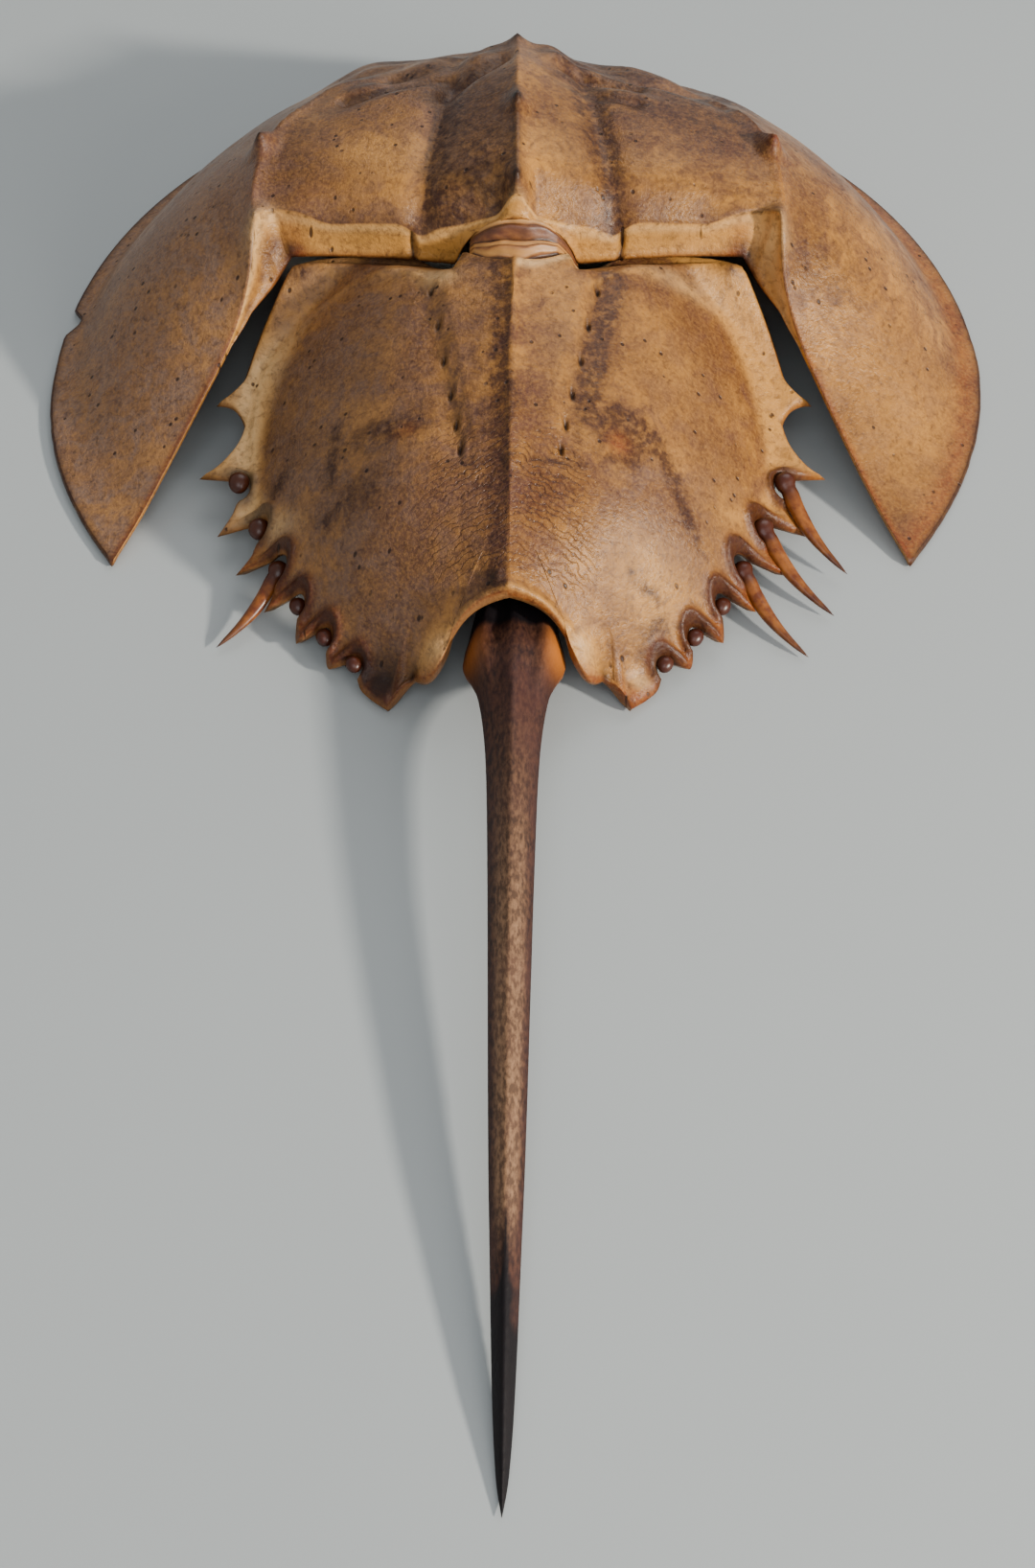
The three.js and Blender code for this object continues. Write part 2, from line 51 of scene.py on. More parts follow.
# Front shell
HALF_WIDTH = 100
DOME_Y = -4
DOME_LENGTH = 98
OUTLINE_POWER = 2
WING_TIP = (82, -56)
CORNER_X = 47.3
WING_BEND = (61.5, -16)
DOME_HEIGHT = 52
DOME_POWER = (2.8, 3.4)  # over the wings and in front
FLANGE_START = 0.97
FLANGE_SLOPE = 22
EDGE_RADIUS = 0.65
SHELL_THICKNESS = 1.7
RIM_WIDTH = 8
WING_FALL = 24
BAND_DROP = 6.5
BAND_DEPTH = 2
ARCH_HALF_WIDTH = 12.5
NOTCH_X = 21.2
ARCH_HEIGHT = 12.8
CREST_ROLL = 6
LOBE_HEIGHT = 7.5
LOBE_HALF_WIDTH = 21
RIDGE_X = 55
RIDGE_Y = 54
RIDGE_POWER = 2.6
RIDGE_HEIGHT = 2.9
HINGE_SHARE = 0.36
OUTER_SHARE = 0.62
CHIP_Y = 14

# Rear shell
TUCK = 3
HINGE_GAP = 1.2
SKIN_REACH = 8.5
FREE_HALF_WIDTH = 23
REAR_Y = -86.8
FAN = (-22, -28, -64, -76)
VAULT_HALF_WIDTH = 54.5
VAULT_Y = -42
VAULT_HALF_LENGTH = 53
TAIL_ARCH = 11.4
ARCH_FOOT = 13.5
ARCH_RISE = 14.5
SMOOTH_MARGIN = [
    (43.6, -3.6), (52.8, -19.6), (53.2, -27), (53.2, -34.6), (50.5, -45.7),
    (45.6, -57), (40.8, -66), (35.2, -73.6), (29.6, -79.8), (21.3, -86.6),
]
SOCKETS = [(57, -41.3), (52.3, -52.2), (47.8, -62.4), (43.4, -71.2), (37.7, -78.9), (31.6, -85.6)]
SOCKET_RADII = [2.7, 2.7, 2.7, 2.2, 2.2, 2.1]
TEETH = [(65, -37.3), (60.4, -51.4), (56, -61.5), (49.6, -71.2), (42.8, -78.8), (36, -84.8)]
REAR_CORNER = (45.6, 0.4)
SHOULDER = (56.2, -17.4)
FIRST_TOOTH = (62.2, -22.4)
BAY = (56.1, -26.6)
END_SPINE = (24.3, -94.4)
KNOB_FOOT = (18.6, -90.8)  # the pit between the end spine and the knob beside the tail

# Tail spine: y, width and height of its top; the first row reaches into the hollow under the shell, where
# its black stands in for shade
TAIL = [
    (-77, 15, 20), (-84, 18, 19.6), (-87.5, 19.6, 20), (-91.5, 20, 20.6), (-96, 16.8, 20.6),
    (-101, 13.8, 20.3), (-110, 11.3, 19.8), (-122, 9.8, 19), (-143, 8.7, 17.4), (-164, 7.9, 15.2),
    (-186, 7.1, 12.6), (-202, 6.4, 10.6), (-217, 5.5, 8.3), (-232, 4.6, 6), (-242, 3.9, 4.4),
    (-250, 3.1, 3), (-257.5, 1.9, 1.7),
]
TAIL_LEAN = (-0.5, -2.6)
TAIL_TIP = (TAIL_LEAN[1], -263.2, 0.5)
TAIL_DEPTH = 0.74

# Side spines, from socket to tip
LONG = [(10.2, -17, -6.5), (11.8, -16.2, -5.6), (10.6, -16.6, -4.6)]
SHORT = [(2.6, -5.6, -2.4), (2.2, -5.4, -1.6), (1.8, -5.2, -1.2)]
SPINES = {
    "right": LONG + SHORT,
    "left": [(2.6, -3.6, -1.8), (3.2, -4.6, -2.4), (9.6, -14.2, -4.4)] + SHORT,
}


def clamp(v, low=0.0, high=1.0):
    return max(low, min(high, v))


def smoothstep(v, low, high):
    v = clamp((v - low) / (high - low))
    return v * v * (3 - 2 * v)


def mix(a, b, t):
    return a + (b - a) * t


def mix2(a, b, t):
    return mix(a[0], b[0], t), mix(a[1], b[1], t)


def smooth_max(a, b, k):
    return (a + b + math.hypot(a - b, k)) / 2


def smooth_min(a, b, k):
    return (a + b - math.hypot(a - b, k)) / 2


def soft_plus(v, k):
    return v if v / k > 30 else k * math.log1p(math.exp(v / k))


def bend(a, control, b, t):
    return mix2(mix2(a, control, t), mix2(control, b, t), t)


def hill(distance, reach):
    """1 at no distance, fading out beyond the reach."""
    v = distance / reach
    return math.exp(-v * v) if abs(v) < 3 else 0.0


def spot(x, y, middle, reach):
    """An oval patch round a middle point."""
    u = (x - middle[0]) / reach[0]
    v = (y - middle[1]) / reach[1]
    far = u * u + v * v
    return math.exp(-far) if far < 9 else 0.0


def streak(x, y, a, b, width):
    """A patch drawn along a line from a to b."""
    ax, ay = b[0] - a[0], b[1] - a[1]
    t = clamp(((x - a[0]) * ax + (y - a[1]) * ay) / (ax * ax + ay * ay))
    return hill(math.hypot(x - a[0] - ax * t, y - a[1] - ay * t), width)


def spots(x, y, places):
    """Spots added up: each has a middle, a reach and a strength."""
    return sum(strength * spot(x, y, middle, reach) for middle, reach, strength in places)


def streaks(x, y, places):
    """Streaks added up: each has two ends, a width and a strength."""
    return sum(strength * streak(x, y, a, b, width) for a, b, width, strength in places)


def rough(x, y, size, seed=0.0):
    """Uneven ground of about this size in mm, from -1 to 1."""
    return noise.noise(Vector((x / size, y / size, seed)))


def smooth_path(points, t):
    """A place on the smooth curve through the points, for t from 0 to 1."""
    last = len(points) - 1
    n = min(int(t * last), last - 1)
    u = t * last - n
    p0, p1, p2, p3 = (points[int(clamp(n + k, 0, last))] for k in (-1, 0, 1, 2))
    return tuple(
        0.5 * (2 * b + (c - a) * u + (2 * a - 5 * b + 4 * c - d) * u * u + (3 * b - a - 3 * c + d) * u ** 3)
        for a, b, c, d in zip(p0, p1, p2, p3)
    )


def row_metres(p, bent=True):
    x, y, z = p
    if bent:
        x -= SKEW * (1 - math.exp(min(0, y) / 45))
    return Vector((x, y + HINGE_Y, z)) * MM


def rows_of(*parts):
    """Names the rows of a grid: each part in turn, with how far along it each row lies."""
    return [(part, n / count) for part, count in parts for n in range(count)]


def skin(name, columns, rows, place, tints, bent=True):
    """A grid bent into one closed skin.

    place(i, j) gives a corner's position and the strength of each tint there. Row j = rows is row 0
    again, which closes the seam, and the first and last columns fall together.
    """
    body = bmesh.new()
    bmesh.ops.create_grid(body, x_segments=columns, y_segments=rows, size=0.5)
    layers = [body.verts.layers.float.new(tint) for tint in tints]
    for corner in body.verts:
        i = round((corner.co.x + 0.5) * columns)
        j = round((corner.co.y + 0.5) * rows) % rows
        position, strengths = place(i, j)
        corner.co = row_metres(position, bent)
        for layer, strength in zip(layers, strengths):
            corner[layer] = clamp(strength)
    bmesh.ops.remove_doubles(body, verts=body.verts, dist=2e-7)
    bmesh.ops.dissolve_degenerate(body, edges=body.edges, dist=1e-7)
    bmesh.ops.recalc_face_normals(body, faces=body.faces)
    for face in body.faces:
        face.smooth = True
    mesh = bpy.data.meshes.new(name)
    body.to_mesh(mesh)
    body.free()
    piece = bpy.data.objects.new(name, mesh)
    bpy.context.scene.collection.objects.link(piece)
    return piece


# The front shell's shape and colours

PLATE_TINTS = ("gold", "purple", "dark", "rust", "inside", "pale", "wrinkled", "dusty")


def plate_tints(**strengths):
    return tuple(strengths.get(name, 0) for name in PLATE_TINTS)


def hinge_y(x):
    return -5 * (1 - smoothstep(abs(x), 4, CORNER_X))


def band_foot(x):
    side = 36.5 - 2.5 * clamp((abs(x) - 20) / (CORNER_X - 20))
    return side + ARCH_HEIGHT * max(0, 1 - (abs(x) / ARCH_HALF_WIDTH) ** 2.6) ** 0.8


def dome_share(x, y):
    across = abs(x) / HALF_WIDTH
    behind = DOME_Y - y
    if behind <= 0:
        along = -behind / DOME_LENGTH
        return (across ** OUTLINE_POWER + along ** OUTLINE_POWER) ** (1 / OUTLINE_POWER)
    taper = (HALF_WIDTH - WING_TIP[0]) / HALF_WIDTH
    back = behind / (DOME_Y - WING_TIP[1])
    return (across + math.sqrt(across * across + 4 * taper * back * back)) / 2


def dome_height(x, y):
    share = dome_share(x, y)
    fall = 1 / (1 + soft_plus(hinge_y(x) - 2 - y, 5) / WING_FALL)
    power = mix(*DOME_POWER, smoothstep(y, -5, 25))
    dome = DOME_HEIGHT * (1 - (share / FLANGE_START) ** power) * fall
    flange = EDGE_RADIUS * 2 + FLANGE_SLOPE * (1 - share)
    return smooth_max(dome, flange, 2)


def lobe_reach(y):
    return LOBE_HALF_WIDTH - 0.15 * (y + 8)


def lobe_relief(x, y):
    reach = lobe_reach(y)
    rise = (LOBE_HEIGHT - 0.05 * (y + 12)) * (1 - smoothstep(y, 40, 80))
    furrow = hill(abs(x) - reach, 3) * (1 - smoothstep(y, 40, 70))
    return rise * max(0, 1 - abs(x) / reach) ** 1.1 - 1.2 * furrow


def ridge_ring(x, y):
    across = (abs(x) / RIDGE_X) ** RIDGE_POWER
    along = (max(0, y) / RIDGE_Y) ** RIDGE_POWER
    return (across + along) ** (1 / RIDGE_POWER)


def ridge_relief(x, y):
    crest = math.exp(-abs(ridge_ring(x, y) - 1) * RIDGE_X / 3.0)
    fade = smoothstep(y, -16, -4) * (1 - 0.6 * smoothstep(y, 30, 50))
    return RIDGE_HEIGHT * crest * fade


def crest_roll(x, y):
    """How far the top rolls down towards the band along the hinge."""
    side = abs(x)
    depth = 2.2 + 4.0 * smoothstep(side, 0.8, 4.5)
    depth -= 0.6 * smoothstep(side, 10, 16) + 2.3 * smoothstep(side, 19, 25)
    return depth * hill(max(0, y - hinge_y(x)), CREST_ROLL) * (1 - smoothstep(side, 38, 47))


# Thorns on the keel and over the eyes: foot, reach, rise and lean
THORNS = [
    ((0, -0.4), 4.2, 4.4, (0, -2.8)),
    ((0, 22), 4.5, 3.3, (0, -1.4)),
    ((0, 54), 4.8, 1.8, (0, -0.6)),
    ((-53.5, 23), 4.6, 5.2, (-0.6, -1.8)),
    ((53.5, 23), 4.6, 5.2, (0.6, -1.8)),
    ((-53.5, 3), 3.6, 3.4, (-0.4, -2.2)),
    ((53.5, 3), 3.6, 4.2, (0.4, -2.4)),
]


def thorn_share(x, y, foot, reach):
    far = math.hypot(x - foot[0], (y - foot[1]) / 1.3) / reach
    return (1 - far) ** 1.7 if far < 1 else 0.0


# Folds in front of the ridges: from, to, width and depth
FRONT_FOLDS = [
    ((-15, 34), (-3, 44), 2.4, 1.7), ((-36, 36), (-15, 41), 2.2, 1.3),
    ((-27, 44), (-14, 47), 2.4, 1.2), ((10, 44), (25, 39), 2.2, 1.3),
    ((17, 33), (25, 31), 1.6, 0.8), ((28, 45), (44, 38), 2.4, 0.9),
]


def sunken_shoulder(x, y):
    """How deep the right shoulder sank as it dried."""
    across = smoothstep(x, 8, 20) * (1 - smoothstep(x, 36, 52))
    return 2.6 * across * smoothstep(y, 32, 48) * (1 - smoothstep(y, 66, 82))


def before_ridges(x, y):
    """1 on the folded ground in front of the ridges."""
    return smoothstep(y, 26, 44) * (1 - smoothstep(abs(x), 34, 56))


def dried_unevenness(x, y):
    """Shallow dents and creases where the front shell dried between its ridges."""
    dents = 0.5 * rough(x, y, 24, 1.3) + 0.13 * rough(x, y, 8, 4.1)
    ahead = before_ridges(x, y) * smoothstep(abs(x), 3, 9)
    folds = noise.noise(Vector((x / 13, y / 6 + abs(x) / 20, 7.7)))
    valleys = 1.4 * streaks(x, y, FRONT_FOLDS)
    return dents + ahead * (2.7 * folds + 0.2) - valleys - sunken_shoulder(x, y)


def front_surface(x, y):
    z = dome_height(x, y) + lobe_relief(x, y) + ridge_relief(x, y) - crest_roll(x, y)
    calm = smoothstep(1 - dome_share(x, y), 0.02, 0.2)
    z += dried_unevenness(x, y) * calm
    z += 0.5 * hill(x, 1.1) * smoothstep(y, -6, 0) * (1 - smoothstep(y, 56, 70))
    for side in (-1, 1):
        z += 0.9 * spot(x, y, (side * 51.5, 1.5), (3.2, 3.0))
    for foot, reach, rise, lean in THORNS:
        share = thorn_share(x, y, foot, reach)
        if share:
            return x + lean[0] * share, y + lean[1] * share, z + rise * share
    return x, y, z


def outer_point(a):
    side = -1 if a < 0 else 1
    k = abs(a)
    if k <= OUTER_SHARE:
        angle = math.pi / 2 * (1 - k / OUTER_SHARE)
        power = 2 / OUTLINE_POWER
        x = HALF_WIDTH * math.cos(angle) ** power if k else 0
        return side * x, DOME_Y + DOME_LENGTH * math.sin(angle) ** power
    back = (k - OUTER_SHARE) / (1 - OUTER_SHARE)
    x = HALF_WIDTH - (HALF_WIDTH - WING_TIP[0]) * back ** 2
    return side * x, DOME_Y + (WING_TIP[1] - DOME_Y) * back


def inner_point(a):
    side = -1 if a < 0 else 1
    k = abs(a)
    if k <= HINGE_SHARE:
        x = CORNER_X * k / HINGE_SHARE
        return side * x, hinge_y(x)
    x, y = bend((CORNER_X, 0), WING_BEND, WING_TIP, (k - HINGE_SHARE) / (1 - HINGE_SHARE))
    return side * x, y


def band_share(a):
    return 1 - smoothstep(abs(a), 0.4, 0.66)


def chipped(point, a):
    """The margin with its one big break on the left, and small nicks."""
    x, y = point
    inset = 0.25 * max(0, rough(x * 3, y * 3, 11, 2.2)) * smoothstep(abs(a), 0.4, 0.6)
    if x < 0:
        inset += 2.6 * clamp(1.25 - abs(y - CHIP_Y) / 3.2)
    return x - math.copysign(inset, x), y


FRONT_COLUMNS = 400
FrontCut = namedtuple("FrontCut", (
    "a", "inner", "outer", "span", "band", "band_end", "crest", "foot", "notch",
    "radius", "rim", "wall_end", "hollow_end",
))


def front_cut_place(i):
    s = 2 * i / FRONT_COLUMNS - 1
    return 0.78 * s + 0.22 * s ** 3


@lru_cache(maxsize=None)
def front_cut(i):
    """What a cut across the front shell has in common, from its inner edge to its margin."""
    a = front_cut_place(i)
    inner = inner_point(a)
    outer = chipped(outer_point(a), a)
    span = max(0.05, math.dist(inner, outer))
    band = band_share(a)
    bulge = 1 + 2.4 * hill(abs(a) - 0.4, 0.07)
    notch = 0.9 * hill(abs(inner[0]) - NOTCH_X, 0.6) if abs(a) < HINGE_SHARE else 0
    notch -= 0.7 * (1 - smoothstep(abs(inner[0]), 20, NOTCH_X))
    width = min(BAND_DEPTH * bulge * band + 0.01, 0.3 * span)
    band_end = width / span
    crest = front_surface(*mix2(inner, outer, band_end))
    if abs(a) <= HINGE_SHARE:
        foot = band_foot(inner[0])
    else:
        foot = front_surface(*inner)[2] - (BAND_DROP + 1.4) * band
    foot = min(foot, crest[2] - 1.1)
    radius = min(EDGE_RADIUS, 0.2 * span)
    rim = min(RIM_WIDTH, 0.45 * span) / span
    wall_end = min(1 - rim - min(1.2, 0.08 * span) / span, 0.95)
    hollow_end = min(band_end + 1.5 / span, 0.4)
    return FrontCut(
        a, inner, outer, span, band, band_end, crest, foot, notch, radius, rim, wall_end, hollow_end,
    )


def front_hollow(x, y, t, crest):
    height = dome_height(x, y) - SHELL_THICKNESS * (1.25 + 0.5 * t)
    height -= sunken_shoulder(x, y) + before_ridges(x, y)
    return max(0, min(height, crest[2] - 1.5))


# Spots of colour on the front shell, from left to right: middle, reach and strength
FRONT_PURPLE = [
    ((-50, 26), (9, 10), 0.35), ((40, 28), (16, 9), 0.45), ((63, 0), (10, 10), 0.7),
    ((80, -49), (4, 8), 0.5),
]
FRONT_GOLD = [
    ((-27, 12), (16, 9), 0.35), ((8, 8), (6, 10), 0.5), ((30, 8), (14, 8), 0.3),
    ((80, -22), (15, 22), 0.55),
]
# Painted highlights: on the lit knobs at the hinge's corners and on the lit rear face of the keel's last
# thorn.
FRONT_HIGHLIGHTS = [((-52, 0.4), (3.6, 3.8), 0.95), ((0, -4.2), (2.2, 1.4), 0.7), ((52, 0), (3, 3.4), 0.9)]


def front_purple_and_shade(x, y, from_inner):
    """Purplish brown: in the furrows, and painted shade in the folds, behind the crest, on the middle's
    left half and on the right plateau.
    """
    reach = lobe_reach(y)
    furrow = hill(abs(x) - reach + 0.8 * rough(x, y, 4, 3), 3.0) * (1 - smoothstep(y, 30, 52))
    patchy = 0.5 + 0.5 * rough(x, y, 5, 9.2)
    # Painted shade where the top rolls down towards the band.
    shade_behind_crest = hill(from_inner - 2.6, 2.4) * (1 - smoothstep(abs(x), 42, 52))
    purple = furrow * (1.0 if x > 0 else 0.45) * (0.5 + 0.8 * patchy)
    purple += 0.4 * shade_behind_crest * smoothstep(abs(x), 8, 16)
    # Painted shadow: the keel's shadow over the left half of the middle lobe.
    if -reach < x < 0:
        purple += 0.9 * (1 - smoothstep(y, 26, 46)) * (0.7 + 0.3 * patchy)
    ahead = smoothstep(y, 26, 48) * (1 - smoothstep(abs(x), 40, 70))
    purple += ahead * clamp(0.25 + 1.0 * rough(x, y * 2, 9, 5.5))
    # Painted shade: darkens the right plateau, which faces the light.
    purple += 0.4 * smoothstep(y, 0, 8) * (1 - smoothstep(x, 48, 56)) * smoothstep(x, 1, 10)
    # Painted shade in the fold valleys in front of the ridges.
    folds = [(a, b, 2.6, 0.5) for a, b, _, _ in FRONT_FOLDS]
    return purple + spots(x, y, FRONT_PURPLE) + streaks(x, y, folds)


def front_dark(x, y, a, from_inner, from_margin, wing, thorn_tip):
    """Near black: at the margins, on the keel, on the thorns' tips and in the right hinge's crease."""
    patchy = 0.5 + 0.5 * rough(x, y, 5, 9.2)
    keel = smoothstep(y, -3, 3) * (1 - smoothstep(y, 22, 30)) * (0.5 + patchy)
    dark = 0.75 * hill(from_margin, 1.3) + 0.6 * hill(x, 0.8) * keel
    on_keel_or_eye = y > 10 or abs(x) < 5
    tip_share = 0.1 if x > 50 and y > 10 else 1 if on_keel_or_eye else 0.35
    dark += smoothstep(thorn_tip, 0.45, 0.9) * tip_share
    dark += 0.6 * hill(from_inner, 0.5) * wing * patchy
    if x > 0:
        crease = hill(from_inner - 0.2, 0.55) * smoothstep(a, HINGE_SHARE + 0.015, HINGE_SHARE + 0.04)
        dark += 0.7 * crease * (1 - smoothstep(a, 0.5, 0.6))
    return dark


def front_tints(x, y, a, t, span, thorn_tip):
    """Colour of the front shell's upper side."""
    from_margin = (1 - t) * span
    from_inner = t * span
    wing = smoothstep(abs(a), 0.42, 0.55)
    reach = lobe_reach(y)
    # Painted shade: a grey-mauve tone over the left wing, the left half of the middle lobe and the left
    # plateau, which lie in shade; the same tone greys the front slope.
    dusty = 0.75 * smoothstep(-x, 50, 60) + 0.6 * (-reach < x < 0) * smoothstep(-x, 0, 2)
    dusty += 0.75 * smoothstep(y, 24, 44) + 0.25 * (x < -reach)
    rust = 0.6 * hill(from_margin - 3.0, 3.2) * smoothstep(x, 0, 60)
    rust += 0.9 * hill(from_inner, 1.2) * wing
    rust += 0.2 * hill(ridge_ring(x, y) * RIDGE_X - RIDGE_X, 1.6) * hill(y - 12, 16)
    if x > 50 and y > 10:
        rust += 0.6 * smoothstep(thorn_tip, 0.3, 0.7)
    return plate_tints(
        gold=spots(x, y, FRONT_GOLD),
        purple=front_purple_and_shade(x, y, from_inner),
        dark=front_dark(x, y, a, from_inner, from_margin, wing, thorn_tip),
        rust=rust,
        pale=spots(x, y, FRONT_HIGHLIGHTS),
        dusty=dusty,
    )


def band_tints(x, a, s, crease):
    """Colour of the downturned band along the hinge and of the facet that it becomes on the wing."""
    facet = smoothstep(abs(a), HINGE_SHARE - 0.015, HINGE_SHARE + 0.02)
    hollow = facet * hill(s - 0.36, 0.26)
    left = x < 0
    gold = 1 - 0.95 * hollow * (1 if left else 0.35)
    stain = spot(x, s, (-32.5, 0.55), (3.6, 0.3)) + spot(x, s, (31.5, 0.5), (2.6, 0.25))
    pits = hill(s - 0.95, 0.06) * smoothstep(noise.noise(Vector((x / 1.1, a * 40, 3))), 0.15, 0.4)
    dark = 0.5 * stain * (0.5 + rough(x, s * 6, 1.2, 2)) + 0.9 * pits + 0.9 * crease
    dark += (0.8 * hill(s - 1, 0.05) if not left else 0) * facet
    dark += 0.7 * hill(abs(x) - 46.9, 1.5) * hill(s - 0.05, 0.28) + 0.5 * hill(s, 0.05)
    rust = 0.8 * hill(s, 0.1) + 0.6 * hill(abs(x) - 46.2, 2.4) * (1 - facet) * (1 - 0.6 * s)
    purple = 0.95 * hill(s - 0.05, 0.22) * hill(abs(x) - 46.6, 3.4) + 0.3 * hollow
    pale = 0.75 * hill(s - 0.85, 0.16) if left else 0.5 * hill(s - 0.6, 0.3)
    pale *= facet * (1 - smoothstep(abs(a), 0.5, 0.62))
    # Painted highlight along the band's upper edge.
    pale += 0.4 * (1 - facet) * hill(s - 0.8, 0.14)
    return plate_tints(gold=gold, purple=purple, dark=dark, rust=rust, pale=pale)


def rim_place(cut, s):
    """The flat rim that the shell lies on."""
    t = 1 - mix(cut.radius / cut.span, cut.rim, s)
    return (*mix2(cut.inner, cut.outer, t), 0), plate_tints(dark=0.2 * (1 - s), rust=0.2, inside=0.8)


def wall_place(cut, s):
    """The step from the rim up into the hollow."""
    x, y = mix2(cut.inner, cut.outer, mix(1 - cut.rim, cut.wall_end, s))
    height = front_hollow(*mix2(cut.inner, cut.outer, cut.wall_end), cut.wall_end, cut.crest)
    return (x, y, height * smoothstep(s, 0, 1) * s), plate_tints(inside=1)


def hollow_place(cut, s):
    """The under side of the dome."""
    t = mix(cut.wall_end, cut.hollow_end, s)
    x, y = mix2(cut.inner, cut.outer, t)
    return (x, y, front_hollow(x, y, t, cut.crest)), plate_tints(inside=1)


def lip_place(cut, s):
    """From the hollow to the foot of the band."""
    lip_share = min(1.4, 0.12 * cut.span) / cut.span
    at_lip = mix2(cut.inner, cut.outer, lip_share)
    lip_height = clamp(front_surface(*at_lip)[2] - SHELL_THICKNESS, 0, cut.foot - 0.05)
    if s < 0.5:
        start = mix2(cut.inner, cut.outer, cut.hollow_end)
        start_height = front_hollow(*start, cut.hollow_end, cut.crest)
        x, y = mix2(start, at_lip, s * 2)
        return (x, y, mix(start_height, lip_height, s * 2)), plate_tints(inside=1)
    x, y = mix2(at_lip, cut.inner, s * 2 - 1)
    drop = 0.35 * math.sin(math.pi * (s * 2 - 1)) * cut.band
    z = max(0, mix(lip_height, cut.foot, s * 2 - 1) - drop)
    return (x, y, z), plate_tints(gold=0.5, rust=0.6, inside=0.4)


def band_place(cut, s):
    """The downturned band along the hinge, and the facet that it becomes on the wing."""
    hinge = abs(cut.a) <= HINGE_SHARE
    lift = mix(cut.foot, cut.crest[2], s ** 0.9)
    hollowed = (0.5 if hinge else 1.5 * cut.band) * math.sin(math.pi * min(1, s * 1.15))
    lip = 0.35 * hill(s - 0.06, 0.08) * cut.band
    t = cut.band_end * s + (hollowed * (0.9 if hinge else 0.2) - lip + cut.notch) / cut.span
    x, y = mix2(cut.inner, cut.outer, max(t, -0.4 / cut.span))
    x, y = mix2((x, y), cut.crest, s ** 6)
    z = lift - (0 if hinge else hollowed * 0.8)
    return (x, y, z), band_tints(x, cut.a, s, hill(abs(cut.inner[0]) - NOTCH_X, 0.45))


def top_place(cut, s):
    """The upper side, from the band to the rounded margin."""
    top_end = 1 - cut.radius / cut.span
    t = cut.band_end + (top_end - cut.band_end) * math.sin(math.pi / 2 * s) ** 0.95
    x, y = mix2(cut.inner, cut.outer, t)
    tip = max(thorn_share(x, y, foot, reach) for foot, reach, _, _ in THORNS)
    return front_surface(x, y), front_tints(x, y, cut.a, t, cut.span, tip)


def margin_place(cut, s):
    """The rounded margin, down to the rim."""
    angle = math.pi * (0.5 - s)
    t = 1 - cut.radius * (1 - math.cos(angle)) / cut.span
    x, y = mix2(cut.inner, cut.outer, t)
    start = front_surface(*mix2(cut.inner, cut.outer, 1 - cut.radius / cut.span))[2]
    z = mix(start, 0, 0.5 - 0.5 * math.sin(angle))
    return (x, y, z), plate_tints(purple=0.2, dark=0.8, rust=0.3)


FRONT_ROWS = rows_of(
    (rim_place, 5), (wall_place, 4), (hollow_place, 22), (lip_place, 6), (band_place, 14),
    (top_place, 118), (margin_place, 7),
)


def front_place(i, j):
    if i in (0, FRONT_COLUMNS):
        side = -1 if i == 0 else 1
        return (side * WING_TIP[0], WING_TIP[1], 0.6), plate_tints(purple=0.5, dark=0.6, rust=0.3)
    place_part, s = FRONT_ROWS[j]
    return place_part(front_cut(i), s)


# The rear shell's shape and colours


def margin_height(y):
    return 2.2 + 31 * math.exp(min(y, 0) / 25)


# Distance from (30, -36) to the rim of the vault, every 21.3 degrees from -24 degrees on
VAULT_RIM = [(24.3,), (23.5,), (25.4,), (28.5,), (28.8,), (27.6,), (26.1,), (23.7,)]


def beside_vault(x, y):
    """The trough just outside the rim of the vault, and the thin crest along the rim."""
    k = abs(x)
    angle = math.degrees(math.atan2(y + 36, k - 30))
    beyond = math.hypot(k - 30, y + 36) - smooth_path(VAULT_RIM, clamp((angle + 24) / 149))[0]
    here = smoothstep(angle, -70, -30) * (1 - smoothstep(angle, 122, 140))
    return hill(beyond - 1.6, 2.3) * here, hill(beyond + 0.2, 0.7) * here


def rear_height(x, y):
    crown_share = clamp((-12 - y) / 79, 0, 1.2)
    crown = 45 - 18 * crown_share ** 1.7
    margin = margin_height(y)
    along = clamp((y - VAULT_Y) / VAULT_HALF_LENGTH, -0.9, 0.9)
    reach = VAULT_HALF_WIDTH * math.sqrt(1 - (along ** 2 if along < 0 else along ** 2.8))
    rear = smoothstep(-y, 62, 90)
    power = 2.4 - 1.25 * rear
    vault = margin - 2 + (crown - margin + 2) * (1 - (abs(x) / reach) ** power)
    flange = margin + 0.2 * (VAULT_HALF_WIDTH + 4 - abs(x)) * (1 - rear)
    trough, _ = beside_vault(x, y)
    flange -= (1.5 if x < 0 else 0.8) * trough
    keel = 1.6 * math.exp(-abs(x) / 2.5) * (1 - rear)
    in_arch = abs(x) / TAIL_ARCH
    if in_arch < 1:
        over_tail = ARCH_FOOT + ARCH_RISE * math.sqrt(1 - in_arch ** 2)
    else:
        over_tail = ARCH_FOOT + 60 * (1 - in_arch)
    shield = smooth_max(smooth_max(vault, over_tail, 1.2), flange, 0.8 if x < 0 else 1.4) + keel
    under_band = band_foot(x) - HINGE_GAP - 0.7 + 0.9 * max(0, hinge_y(x) - y)
    return smooth_min(shield, under_band, 0.8)


# Six slits on each side of the middle, from the hinge to the tail
SLITS = [(16.7, -18.8), (14.9, -28.1), (13.5, -36.9), (11.9, -45), (10.7, -51.9), (9.8, -57.4)]


